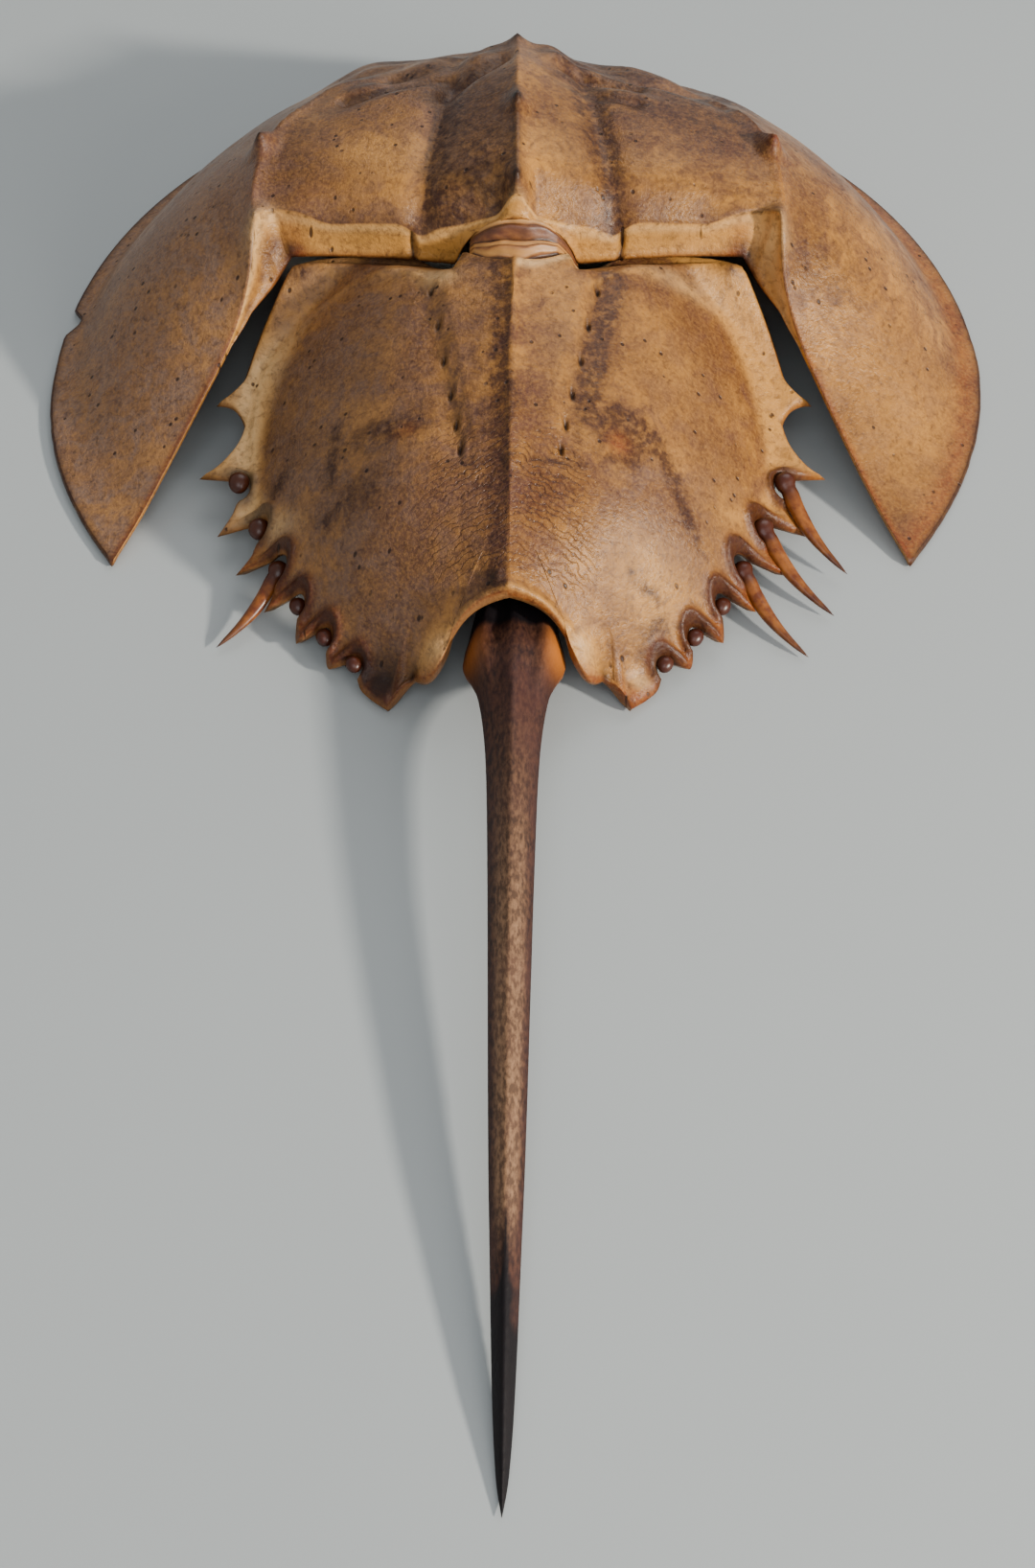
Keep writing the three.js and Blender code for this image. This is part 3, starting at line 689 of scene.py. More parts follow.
# Knobs and hollows: middle, reach and height
KNOBS = [((0.2, -61.8), (1.1, 1.4), 0.55), ((-2.4, -83.6), (1.3, 1.1), 1.0)]
PAIRED_KNOBS = [
    ((25, -8.6), (4.2, 2.2), 0.5), ((25, -11.6), (5, 1.2), -0.4), ((44.3, -2.6), (1.7, 1.7), 0.8),
    ((14.9, -90), (3, 2.5), 2.4), ((19.2, -89.9), (1.3, 1.6), -1.0), ((22.4, -91.4), (2.4, 2.4), 1.5),
    ((26, -89), (2.0, 1.8), 0.9),
]


def furrow_at(y):
    """How far from the middle the row of slits runs."""
    return mix(16.8, 9.6, clamp((-18 - y) / 40))


def in_slit(k, y, reach):
    """1 in the middle of a slit."""
    near = [(sx, sy) for sx, sy in SLITS if abs(k - sx) < 3 and abs(y - sy) < 4]
    return sum(spot(k, y, (sx - 0.06 * (y - sy), sy), reach) for sx, sy in near)


def rear_arch_y(x):
    return REAR_Y - 1.8 * (x / TAIL_ARCH) ** 2


def rear_relief(x, y):
    """Slits, furrows, knobs and rims on the rear shell."""
    k = abs(x)
    furrow_x = furrow_at(y)
    furrow = smoothstep(y, -66, -52) * (1 - smoothstep(y, -16, -10))
    z = 0.9 * (1 - smoothstep(k, furrow_x - 3.5, furrow_x + 0.5)) * furrow
    z -= 0.5 * hill(k - furrow_x - 1.6, 2.2) * furrow
    z -= 1.2 * in_slit(k, y, (0.45, 1.25))
    z += sum(0.35 * spot(k, y, (sx - 1.0, sy), (0.6, 1.9)) for sx, sy in SLITS if abs(y - sy) < 4)
    z += 0.3 * rough(x, y, 17, 8.8) + 0.1 * rough(x, y, 6, 2.8)
    z += (0.45 if x < 0 else 0.2) * beside_vault(x, y)[1]
    z += spots(x, y, KNOBS) + spots(k, y, PAIRED_KNOBS)
    if k < TAIL_ARCH + 1:
        z += 0.7 * hill(y - rear_arch_y(x) - 0.9, 1.0)
    for (sx, sy), radius in zip(SOCKETS, SOCKET_RADII):
        if abs(k - sx) < 6 and abs(y - sy) < 6:
            z += 1.5 * hill(math.hypot(k - sx, y - sy) - radius - 1.0, 0.9)
    return z


def rear_surface(x, y):
    return rear_height(x, y) + rear_relief(x, y) * smoothstep(hinge_y(x) - y, 0.5, 4)


# Colours on the rear shell: spots with middle, reach and strength, streaks with ends and width
REAR_PURPLE = [
    ((22.4, -48.4), (3.6, 2.6), 1.6), ((18.6, -51.2), (2.2, 3.2), 1.0), ((24.8, -53.2), (2.4, 3.6), 0.9),
    ((20.0, -57.5), (4.0, 2.0), 0.45), ((-21.4, -50.2), (6.0, 3.2), 0.7), ((-28.5, -49), (4.5, 3), 0.45),
    ((0.1, -48), (1.6, 6), 0.8), ((0.5, -62), (1.8, 5), 0.4), ((-29, -60), (7, 5), 0.4),
    ((-10, -60.5), (6, 1.0), 0.4), ((9, -60.5), (6, 0.8), 0.55),
]
REAR_PURPLE_STREAKS = [
    ((28.5, -50), (33.1, -58.1), 1.8, 0.75), ((33.1, -58.1), (35.3, -62.9), 1.5, 0.8),
    ((35.3, -62.9), (37.9, -66), 1.0, 0.7), ((-35.5, -44.1), (-36, -55), 1.1, 0.8),
    ((-46.5, -45.5), (-48, -47.5), 1.5, 0.8), ((-33.5, -60.5), (-36.5, -62), 1.2, 0.6),
    ((30, -80.6), (27.5, -84.2), 2.2, 0.7), ((24, -76), (29, -77), 1.0, 0.5),
]
REAR_GREY_TONE = [((28, -60), (10, 12), 0.45), ((10, -30), (6, 22), 0.2)]
REAR_RUST = [((21.2, -54), (2.1, 2.2), 0.9), ((-20.6, -51.2), (2.2, 1.6), 0.45)]
REAR_DARK = [
    ((-2.6, -84), (1.6, 1.1), 0.8), ((-25, -90.5), (4.2, 4), 0.5), ((-25.5, -89.5), (4.2, 4.5), 0.7),
]
REAR_GOLD = [
    ((28, -76), (10, 8), 1.0), ((44, -56), (7, 12), 0.4), ((30, -32), (12, 14), 0.35),
    ((12, -34), (5, 14), 0.3),
]
REAR_PALE = [((34, -8), (9, 3), 0.35), ((26, -89), (2, 1.6), 0.8), ((30.5, -85.8), (1.6, 1.6), 0.7)]

# The same on both sides
PAIRED_RUST = [((22.5, -93), (2.0, 2.4), 0.8), ((15, -92.6), (3, 1.5), 0.4)]
PAIRED_DARK = [((19.0, -90.2), (1.0, 1.3), 0.9)]
PAIRED_GOLD = [((15, -90), (4, 3.6), 1.3)]
PAIRED_PALE = [((14.4, -89.8), (2.0, 2.0), 0.5)]
PAIRED_PURPLE = [((44.6, -2.4), (1.9, 1.9), 0.9)]


def rear_purple_and_shade(x, y, furrow_x):
    """Purplish brown: stains and the furrows, and painted shade on the strip left of the keel and over the
    left of the vault.
    """
    k = abs(x)
    grain = 0.5 + 0.6 * rough(x, y, 3.2, 6.1)
    purple = spots(x, y, REAR_PURPLE) + streaks(x, y, REAR_PURPLE_STREAKS)
    furrow = hill(k - furrow_x - 3.0, 2.8) * smoothstep(y, -56, -44) * (1 - smoothstep(y, -16, -10))
    purple += (1.1 if x > 0 else 0.35) * furrow
    # Painted shade on the strip left of the keel, which faces away from the light.
    if -furrow_x < x < 0:
        purple += smoothstep(-x, 0, 1) * (0.9 * hill(x + 1.5, 2.4) + 0.4 * hill(x + 5, 7))
    purple = 1.2 * purple + 0.13 * smoothstep(x, 2, 10) * (1 - smoothstep(x, 40, 48))
    purple *= clamp(0.6 + grain, 0, 1.3)
    # Painted shade over the left of the vault.
    purple += 0.2 * smoothstep(-x, 18, 34) * (1 - smoothstep(-x, 50, 53))
    return purple + spots(k, y, PAIRED_PURPLE)


def round_sockets(k, y):
    """1 at the side spines' sockets and on the rings round them."""
    near = 0
    for (sx, sy), radius in zip(SOCKETS, SOCKET_RADII):
        if abs(k - sx) < 9 and abs(y - sy) < 9:
            near = max(near, hill(max(0, math.hypot(k - sx, y - sy) - radius - 0.9), 1.3))
    return near


def rear_tints(x, y, edge_share):
    """Colour of the rear shell's upper side."""
    k = abs(x)
    furrow_x = furrow_at(y)
    socket = round_sockets(k, y)
    trough, crest = beside_vault(x, y)
    vault_edge = VAULT_HALF_WIDTH * math.sqrt(max(0, 1 - ((y - VAULT_Y) / VAULT_HALF_LENGTH) ** 2))
    flange = smoothstep(k - vault_edge, -3.5, 0.5) * (1 - smoothstep(-y, 46, 62))
    # Painted shade: the grey-mauve tone over the left of the keel, which faces away from the light.
    dusty = 0.7 * smoothstep(-x, 2, 6) * (1 - smoothstep(k, 49, 52))
    dusty *= 0.5 + 0.5 * smoothstep(k, furrow_x, 30)
    dark = 0.8 * socket + 1.1 * in_slit(k, y, (0.42, 1.2))
    gold = flange + 0.6 * crest
    if k < TAIL_ARCH + 1:
        gold += 0.7 * hill(y - rear_arch_y(x) - 0.5, 0.9)
    # Painted highlight: pale on the left flange and the trough beside the vault, and on the rear shell's
    # front edge right of the keel, where light falls.
    pale = (1.1 * trough + 0.4 * flange) * (x < 0) * smoothstep(-y, 8, 20)
    pale += 0.8 * hill(rear_front_y(x) - y - 1.5, 1.3) * (0.3 < x < 19)
    margin = smoothstep(edge_share, 0.35, 0.9) * smoothstep(-y, 36, 46)
    rust = 1.0 * socket + 0.75 * margin * mix(0.3, 1, smoothstep(k, 15, 24))
    rust += 0.8 * smoothstep(edge_share, 0.75, 1) * smoothstep(-y, 4, 12)
    wrinkled = 1 - smoothstep(k, furrow_x + 1, furrow_x + 11)
    wrinkled *= smoothstep(-y, 46, 62) * (1 - smoothstep(-y, 78, 86))
    return plate_tints(
        gold=gold + spots(x, y, REAR_GOLD) + spots(k, y, PAIRED_GOLD),
        purple=rear_purple_and_shade(x, y, furrow_x),
        dark=dark + spots(x, y, REAR_DARK) + spots(k, y, PAIRED_DARK),
        rust=rust + spots(x, y, REAR_RUST) + spots(k, y, PAIRED_RUST),
        pale=pale + spots(x, y, REAR_PALE) + spots(k, y, PAIRED_PALE),
        wrinkled=wrinkled,
        dusty=dusty + spots(x, y, REAR_GREY_TONE),
    )


def rear_front_y(x):
    free = max(0, math.cos(math.pi / 2 * clamp(x / FREE_HALF_WIDTH, -1, 1)))
    return hinge_y(x) + TUCK * (1 - (x / CORNER_X) ** 6) - (TUCK + SKIN_REACH) * free ** 1.5


def rear_outline():
    """The rear shell's right margin from the middle of the hinge to the tail, and its main points."""
    points = [(REAR_CORNER[0] * i / 44, rear_front_y(REAR_CORNER[0] * i / 44)) for i in range(44)]
    anchors = []

    def curve(a, control, b, steps):
        points.extend(bend(a, control, b, i / steps) for i in range(1, steps + 1))

    def mark():
        anchors.append(len(points) - 1)

    points.append(REAR_CORNER)
    mark()
    curve(REAR_CORNER, (52.6, -7.5), SHOULDER, 19)
    curve(SHOULDER, (57.4, -20.2), FIRST_TOOTH, 11)
    mark()
    curve(FIRST_TOOTH, (57.2, -22.8), BAY, 12)
    mark()
    curve(BAY, (58.4, -35.3), TEETH[0], 14)
    mark()
    for i, (socket, radius) in enumerate(zip(SOCKETS, SOCKET_RADII)):
        before, after = SOCKETS[max(0, i - 1)], SOCKETS[min(5, i + 1)]
        length = math.dist(before, after)
        ax, ay = (after[0] - before[0]) / length, (after[1] - before[1]) / length

        def place(s, n):
            return socket[0] + ax * s - ay * n, socket[1] + ay * s + ax * n

        for j in range(15):
            angle = math.pi * (1 + j / 14)
            points.append(place(radius * math.cos(angle), radius * math.sin(angle)))
        following = TEETH[i + 1] if i < 5 else END_SPINE
        curve(points[-1], place(radius + 1.6, 2.2), following, 9)
        mark()
    curve(END_SPINE, (20.4, -90.2), KNOB_FOOT, 9)
    curve(KNOB_FOOT, (14.8, -97), (TAIL_ARCH, rear_arch_y(TAIL_ARCH)), 12)
    for i in range(1, 25):
        x = TAIL_ARCH * (1 - i / 24)
        points.append((x, rear_arch_y(x)))
    return points, anchors


REAR_OUTLINE, REAR_ANCHORS = rear_outline()
REAR_COLUMNS = len(REAR_OUTLINE) - 1
REAR_ROWS = rows_of(
    ("right edge", 8), ("right top", 80), ("left top", 80), ("left edge", 8),
    ("left under edge", 5), ("left under", 20), ("right under", 20), ("right under edge", 5),
)


@lru_cache(maxsize=None)
def rear_cut(i):
    """Margin point, foot of the tooth there and the point on the midline that a cut runs to."""
    edge = REAR_OUTLINE[i]
    stops = (0, REAR_ANCHORS[0], REAR_ANCHORS[-1], REAR_COLUMNS)
    part = 0 if i < stops[1] else 1 if i < stops[2] else 2
    share = (i - stops[part]) / (stops[part + 1] - stops[part])
    middle = (0, mix(FAN[part], FAN[part + 1], share))
    foot = mix2(middle, edge, 0.93)
    if part == 1:
        n = max(m for m, at in enumerate(REAR_ANCHORS) if at <= i)
        within = (i - REAR_ANCHORS[n]) / (REAR_ANCHORS[n + 1] - REAR_ANCHORS[n])
        foot = smooth_path(SMOOTH_MARGIN, (n + within) / (len(REAR_ANCHORS) - 1))
    return edge, foot, middle


def ring_share(s):
    """From 0 in the middle to 1 at the margin, with more rows near the slits."""
    if s < 0.12:
        return s / 0.12 * 0.15
    if s < 0.64:
        return mix(0.15, 0.42, (s - 0.12) / 0.52)
    return mix(0.42, 1, (s - 0.64) / 0.36)


def rear_place(i, j):
    edge, foot, middle = rear_cut(i)
    part, s = REAR_ROWS[j]
    side = 1 if part.startswith("right") else -1
    outwards = part.startswith("left") == ("under" not in part)
    share = s if outwards else 1 - s
    under = "under" in part
    if part.endswith("edge"):
        x, y = mix2(foot, edge, share)
        top = rear_surface(side * x, y)
        thick = SHELL_THICKNESS * 1.6
        rounding = (1 - math.sqrt(max(0, 1 - share ** 5))) * thick / 2
        z = max(0.4, rear_height(x, y) - thick + rounding) if under else top - rounding
        if share == 1:
            z = max(0.5, top - thick / 2)
        if under:
            return (side * x, y, z), plate_tints(gold=0.3, rust=0.4, inside=0.6)
        return (side * x, y, z), rear_tints(side * x, y, share)
    k = share if under else ring_share(share)
    x, y = mix2(middle, foot, k)
    if under:
        z = max(0.4, rear_height(x, y) - SHELL_THICKNESS * (1.1 + 0.5 * k))
        return (side * x, y, z), plate_tints(inside=1)
    return (side * x, y, rear_surface(side * x, y)), rear_tints(side * x, y, 0)


# The skin in the hinge's arch

SKIN_FROM, SKIN_TO = -9.6, 12.8
SKIN_COLUMNS = 110
SKIN_ROWS = rows_of(("over", 60), ("under", 14))
SKIN_TINTS = ("pale", "fold", "dark")
CREASE = 0.5  # where the two pleats of the skin meet


def skin_place(i, j):
    x = mix(SKIN_FROM, SKIN_TO, i / SKIN_COLUMNS)
    front = hinge_y(x) + 0.5
    rear = rear_front_y(x) + 0.4
    high = band_foot(x) - 0.45
    low = min(rear_height(smooth_max(abs(x), 3, 2), rear) - 0.3, high - 0.6)
    part, s = SKIN_ROWS[j]
    t = s if part == "over" else 1 - s
    fade = 1 - max(x / SKIN_TO, x / SKIN_FROM) ** 2
    pleat = math.sin(math.pi * (t / CREASE if t < CREASE else (t - CREASE) / (1 - CREASE)))
    wave = 0.09 * rough(x, t, 6, 1.7) + 0.02 * rough(x, t * 3, 2.2, 5.1)
    pleat = (1.1 * pleat - 0.9 * hill(t + wave - CREASE, 0.05)) * fade * smoothstep(t, 0, 0.06)
    pleat += (0.35 * math.sin(26 * (t + wave)) + 0.25 * rough(x / 2, t * 9, 1.3, 3.3)) * fade
    z = mix(high, low, t) + (pleat if part == "over" else -1.3)
    if i in (0, SKIN_COLUMNS):
        return (x, mix(front, rear, 0.5), mix(high, low, 0.5) - 0.5), (0, 1, 0.5)
    if part == "over" and j == 0:
        z = high - 0.3
    line = t + wave
    # Pale stripes on the folds: partly the skin's own colour and partly painted highlight.
    pale = hill(line - 0.1, 0.07) + 0.7 * hill(line - 0.64, 0.06) + 0.8 * hill(line - 0.86, 0.07)
    fold = 0.9 * hill(line - 0.32, 0.12) + 0.5 * hill(line - 0.74, 0.05)
    # Painted shade where the two pleats meet and where the skin runs under the rear shell, plus a thin dark
    # line and dark speckle.
    dark = hill(line - CREASE, 0.05) + 0.6 * hill(line - 0.2, 0.03) + hill(t - 1, 0.06)
    dark += 0.4 * max(0, rough(x / 2, t * 12, 1.6, 9))
    return (x, mix(front, rear, t), z), (pale, fold, dark)


# The tail spine's shape and colours

TAIL_COLUMNS = 230
TAIL_ROWS = rows_of(("over", 20), ("under", 12))
TAIL_TINTS = ("worn", "black_and_shade", "knob", "edge")


@lru_cache(maxsize=None)
def tail_cut(i):
    t = (i / TAIL_COLUMNS) ** 1.15
    y, width, top = smooth_path(TAIL + [(TAIL_TIP[1], 0.05, 0.75)], t)
    along = (TAIL[0][0] - y) / (TAIL[0][0] - TAIL_TIP[1])
    return y, width, top, mix(TAIL_LEAN[0], TAIL_LEAN[1], clamp(along))


def tail_place(i, j):
    y, width, top, lean = tail_cut(i)
    depth = width * TAIL_DEPTH
    low = max(0.02, top - depth)
    part, s = TAIL_ROWS[j]
    u = 1 - 2 * s if part == "over" else 2 * s - 1
    u = math.sin(u * math.pi / 2)
    root = 1 - smoothstep(-y, 98, 112)
    if part == "over":
        v = 0.3 + 0.7 * (1 - abs(u) ** mix(3.4, 1.45, smoothstep(-y, 86, 104)))
        v += root * (0.14 * hill(abs(u) - 0.72, 0.22) - 0.1 * hill(abs(u) - 0.35, 0.2))
    else:
        v = 0.3 * (1 - math.sqrt(max(0, 1 - abs(u) ** 3)))
    if i in (0, TAIL_COLUMNS):
        end = (lean, y, mix(low, top, 0.8)) if i == 0 else TAIL_TIP
        return end, (0, 1, 0, 0)
    worn = 0.5 * smoothstep(1 - abs(u), 0.1, 0.6)
    worn *= smoothstep(-y, 100, 170) * (1 - smoothstep(-y, 205, 222))
    graze = 0.07 * rough(u * 3, y, 1.6, 4.4) + 0.04 * rough(u * 6, y, 0.5, 1.1)
    ribs_at = 0.28 * smoothstep(-y, 84, 93) * (1 - smoothstep(-y, 95, 106))
    ribs = 1.1 * root * (hill(abs(u) - ribs_at, 0.12) - 0.5)
    z = mix(low, top, v) + graze * smoothstep(width, 1, 5) + (max(0, ribs) if part == "over" else 0)
    # Painted shade: besides the tip, the root's front end, which reaches into the hollow under the shell,
    # is black to stand for the shade in there.
    black_and_shade = smoothstep(-y + 9 * rough(u * 2, y, 6, 5) + 16 * hill(u, 0.3), 224, 232)
    black_and_shade += 1 - smoothstep(-y, 85.5, 88)
    # Painted highlight: the right knob is a stronger orange than the left, as lit from the right.
    knob = root * hill(abs(u) - 0.86, 0.22) * hill(-y - 91, 4.5) * (1 if u > 0 else 0.6)
    return (lean + width / 2 * u, y, z), (worn, black_and_shade, knob, smoothstep(abs(u), 0.82, 1))


# The side spines' shapes

SPINE_WIDTHS = [(0.85,), (1.12,), (1.05,), (0.98,), (0.86,), (0.7,), (0.52,), (0.34,), (0.06,)]
SPINE_COLUMNS = 36
SPINE_ROWS = 16
SPINE_TINTS = ("tip", "root")
ROOT_RADIUS = [2.3, 2.3, 2.2, 1.85, 1.85, 1.75]  # of the ball that sits in the socket


def side_spine(index, side, reach):
    socket = SOCKETS[index]
    out = 1.6 if index < 3 else 0.3
    height = margin_height(socket[1]) + 0.9
    tip = Vector((side * (socket[0] + out + reach[0]), socket[1] - out + reach[1], height + reach[2]))
    foot = Vector((side * (socket[0] - 0.6), socket[1] + 0.6, height + 0.3))
    tip -= foot
    ball_radius = ROOT_RADIUS[index]
    length = tip.length
    radius = 0.9 + 0.03 * length
    forward = tip.normalized()
    sideways = Vector((0, 0, 1)).cross(forward).normalized()
    up = forward.cross(sideways)
    stub = length < 11
    end = ball_radius / length if stub else 1

    def place(i, j):
        t = mix(-ball_radius / length, end, (i / SPINE_COLUMNS) ** (1 if stub else 1.3))
        scale = smooth_path(SPINE_WIDTHS, clamp(t))[0] * smoothstep(t * length, -0.6, 1.6)
        ball = math.sqrt(max(0, ball_radius ** 2 - (t * length) ** 2)) / radius
        scale = ball if stub else max(scale, ball)
        if i in (0, SPINE_COLUMNS):
            scale = 0
        angle = 2 * math.pi * j / SPINE_ROWS
        droop = 1.4 * side * math.sin(math.pi * clamp(t)) * length / 20
        p = foot + tip * t + sideways * (math.cos(angle) * radius * scale - droop)
        p += up * math.sin(angle) * radius * scale * 0.78
        root = 1 - smoothstep(t * length, 1.5, 6)
        return tuple(p), (0.4 + 0.8 * max(0, t) if stub else t, root)

    return place


# Surfaces


def linear(hex_colour):
    """An sRGB hex value as a linear colour."""
    values = [int(hex_colour[n:n + 2], 16) / 255 for n in (1, 3, 5)]
    return tuple(v / 12.92 if v <= 0.04045 else ((v + 0.055) / 1.055) ** 2.4 for v in values) + (1,)


def add(tree, kind, inputs, output=0, **settings):
    """Adds one node and returns one output; an input is a value or another node's output."""
    node = tree.nodes.new(kind)
    for key, value in settings.items():
        setattr(node, key, value)
    for socket, value in inputs.items():
        if isinstance(value, bpy.types.NodeSocket):
            tree.links.new(value, node.inputs[socket])
        else:
            node.inputs[socket].default_value = value
    return node.outputs[output]


def new_surface(name):
    surface = bpy.data.materials.new(name)
    surface.use_nodes = True
    tree = surface.node_tree
    return surface, tree, tree.nodes["Principled BSDF"]


def in_millimetres(tree, stretch=(1, 1, 1)):
    """Places on the piece in mm, so that a pattern of scale 1 / s repeats every s mm."""
    place = add(tree, "ShaderNodeTexCoord", {}, "Object")
    scale = tuple(1000 / s for s in stretch)
    return add(tree, "ShaderNodeMapping", {"Vector": place, "Scale": scale})


def mottle(tree, place, size, detail, between=(0, 1), to=(0, 1), distortion=0):
    """Lumps of about this many mm: noise with one range of its values stretched to another."""
    lumps = add(tree, "ShaderNodeTexNoise", {
        "Vector": place, "Scale": 1 / size, "Detail": detail, "Roughness": 0.6, "Distortion": distortion,
    })
    ranges = {1: between[0], 2: between[1], 3: to[0], 4: to[1]}
    return add(tree, "ShaderNodeMapRange", {0: lumps} | ranges, clamp=True)


def stained(tree, colour, stains):
    """Stains laid over a colour in turn: the pattern or tint they lie by, strength and colour."""
    for where, strength, stain in stains:
        if isinstance(where, str):
            where = add(tree, "ShaderNodeAttribute", {}, "Fac", attribute_name=where)
        share = add(tree, "ShaderNodeMath", {0: where, 1: strength}, operation="MULTIPLY")
        layers = {0: share, 6: colour, 7: linear(stain)}
        colour = add(tree, "ShaderNodeMix", layers, 2, data_type="RGBA")
    return colour


def finish_surface(tree, shader, colour, relief, strength, depth):
    """Gives the shader its colour, and bumps of this depth in metres."""
    bump = add(tree, "ShaderNodeBump", {"Strength": strength, "Distance": depth, "Height": relief})
    tree.links.new(colour, shader.inputs["Base Color"])
    tree.links.new(bump, shader.inputs["Normal"])


def plate_wrinkles(tree, place, calm):
    """Fine wrinkles above the tail, slanting away from the keel every 1.4 mm or so."""
    x = add(tree, "ShaderNodeSeparateXYZ", {0: place}, "X")
    y = add(tree, "ShaderNodeSeparateXYZ", {0: place}, "Y")
    side = add(tree, "ShaderNodeMath", {0: x}, operation="ABSOLUTE")
    across = add(tree, "ShaderNodeMath", {0: side, 1: 1.6}, operation="MULTIPLY")
    slant = add(tree, "ShaderNodeMath", {0: y, 1: 4.4, 2: across}, operation="MULTIPLY_ADD")
    shift = mottle(tree, place, 4, 3)
    phase = add(tree, "ShaderNodeMath", {0: shift, 1: 22, 2: slant}, operation="MULTIPLY_ADD")
    ripples = add(tree, "ShaderNodeMath", {0: phase}, operation="SINE")
    wrinkle = add(tree, "ShaderNodeMapRange", {0: ripples, 1: -1, 2: -0.5, 3: 1, 4: 0}, clamp=True)
    for share in (add(tree, "ShaderNodeAttribute", {}, "Fac", attribute_name="wrinkled"), calm):
        wrinkle = add(tree, "ShaderNodeMath", {0: wrinkle, 1: share}, operation="MULTIPLY")
    return wrinkle


def plate_pores(tree, place):
    """Pinholes some 3 mm apart, in patches."""
    seen_from_above = in_millimetres(tree, (1, 1, 1e5))
    spacing = {"Vector": seen_from_above, "Scale": 1 / 3.2, "Randomness": 1}
    cells = add(tree, "ShaderNodeTexVoronoi", spacing, "Distance")
    hole = add(tree, "ShaderNodeMapRange", {0: cells, 1: 0.09, 2: 0.15, 3: 1, 4: 0}, clamp=True)
    patches = mottle(tree, place, 12, 2, (0.42, 0.5))
    return add(tree, "ShaderNodeMath", {0: hole, 1: patches}, operation="MULTIPLY")


def plate_veins(tree, patches):
    """Hair-fine dark creases that part the plate into cells of about 2.4 mm."""
    spacing = {"Vector": in_millimetres(tree, (1.6, 1, 1.3)), "Scale": 1 / 2.4, "Randomness": 1}
    edges = add(tree, "ShaderNodeTexVoronoi", spacing, "Distance", feature="DISTANCE_TO_EDGE")
    vein = add(tree, "ShaderNodeMapRange", {0: edges, 1: 0, 2: 0.06, 3: 1, 4: 0}, clamp=True)
    return add(tree, "ShaderNodeMath", {0: vein, 1: patches}, operation="MULTIPLY")


def dried_chitin():
    # Chitin plate, grown by the animal and dried in the open: thin horn with a satin face, mottled
    # from honey to purplish brown, with pinhole pores, fine dark creases and stains where skin held it.
    surface, tree, shader = new_surface("dried chitin plate")
    place = in_millimetres(tree)
    middle = mottle(tree, place, 6, 6, (0.44, 0.62), distortion=0.8)
    small = mottle(tree, place, 1.6, 6, (0.46, 0.66), distortion=0.5)
    dust = add(tree, "ShaderNodeMapRange", {0: middle, 3: 0.5, 4: 0.95})
    ragged = mottle(tree, place, 2, 6, (0.36, 0.64), (0.5, 1.3))
    purple = add(tree, "ShaderNodeAttribute", {}, "Fac", attribute_name="purple")
    purple = add(tree, "ShaderNodeMath", {0: purple, 1: ragged}, operation="MULTIPLY")
    purple = add(tree, "ShaderNodeMapRange", {0: purple, 1: 0.03, 2: 1, 4: 0.88}, clamp=True)
    glint_strength = add(tree, "ShaderNodeMapRange", {0: purple, 2: 0.9, 3: 1, 4: 0.45}, clamp=True)
    calm = add(tree, "ShaderNodeMapRange", {0: middle, 3: 1, 4: 0.3})
    wrinkle = plate_wrinkles(tree, place, calm)
    pore = plate_pores(tree, place)
    colour = stained(tree, linear("#603a20"), [
        (mottle(tree, place, 28, 4, (0.4, 0.6)), 1, "#ad7636"),
        (middle, 0.7, "#54322a"),
        ("gold", 0.8, "#c98f45"),
        # Painted shade: grey-mauve over the sides that face away from the light, and a grey tone on the
        # front slope.
        ("dusty", dust, "#7f6454"),
        # Purplish brown: stains, and painted shade on the sides away from the light.
        (purple, 1, "#2e1715"),
        ("rust", 0.85, "#74310f"),
        # Pale gold: the shell's own pale bars and painted highlights.
        ("pale", 0.8, "#e8be86"),
        (small, 0.42, "#40241b"),
        # Painted glints: fine light-gold flecks, fewer on purple.
        (mottle(tree, place, 0.7, 4, (0.42, 0.7), (0, 0.26)), glint_strength, "#c8904c"),
        (wrinkle, 0.6, "#3a211b"),
        (pore, 0.85, "#23130f"),
        (plate_veins(tree, small), 0.4, "#3a221b"),
        ("dark", 0.92, "#1e110f"),
        ("inside", 0.75, "#86603e"),
    ])
    satin = add(tree, "ShaderNodeMapRange", {0: middle, 3: 0.3, 4: 0.46})
    tree.links.new(satin, shader.inputs["Roughness"])
    shader.inputs["IOR"].default_value = 1.5
    shader.inputs["Specular IOR Level"].default_value = 0.26
    creases = mottle(tree, in_millimetres(tree, (1, 2.2, 1)), 2.2, 4, distortion=1)
    fine = mottle(tree, place, 0.7, 4)
    relief = add(tree, "ShaderNodeMath", {0: creases, 1: fine}, operation="ADD")
    for hollow in (pore, wrinkle):
        relief = add(tree, "ShaderNodeMath", {0: relief, 1: hollow}, operation="SUBTRACT")
    finish_surface(tree, shader, colour, relief, 0.6, 0.0003)
    return surface


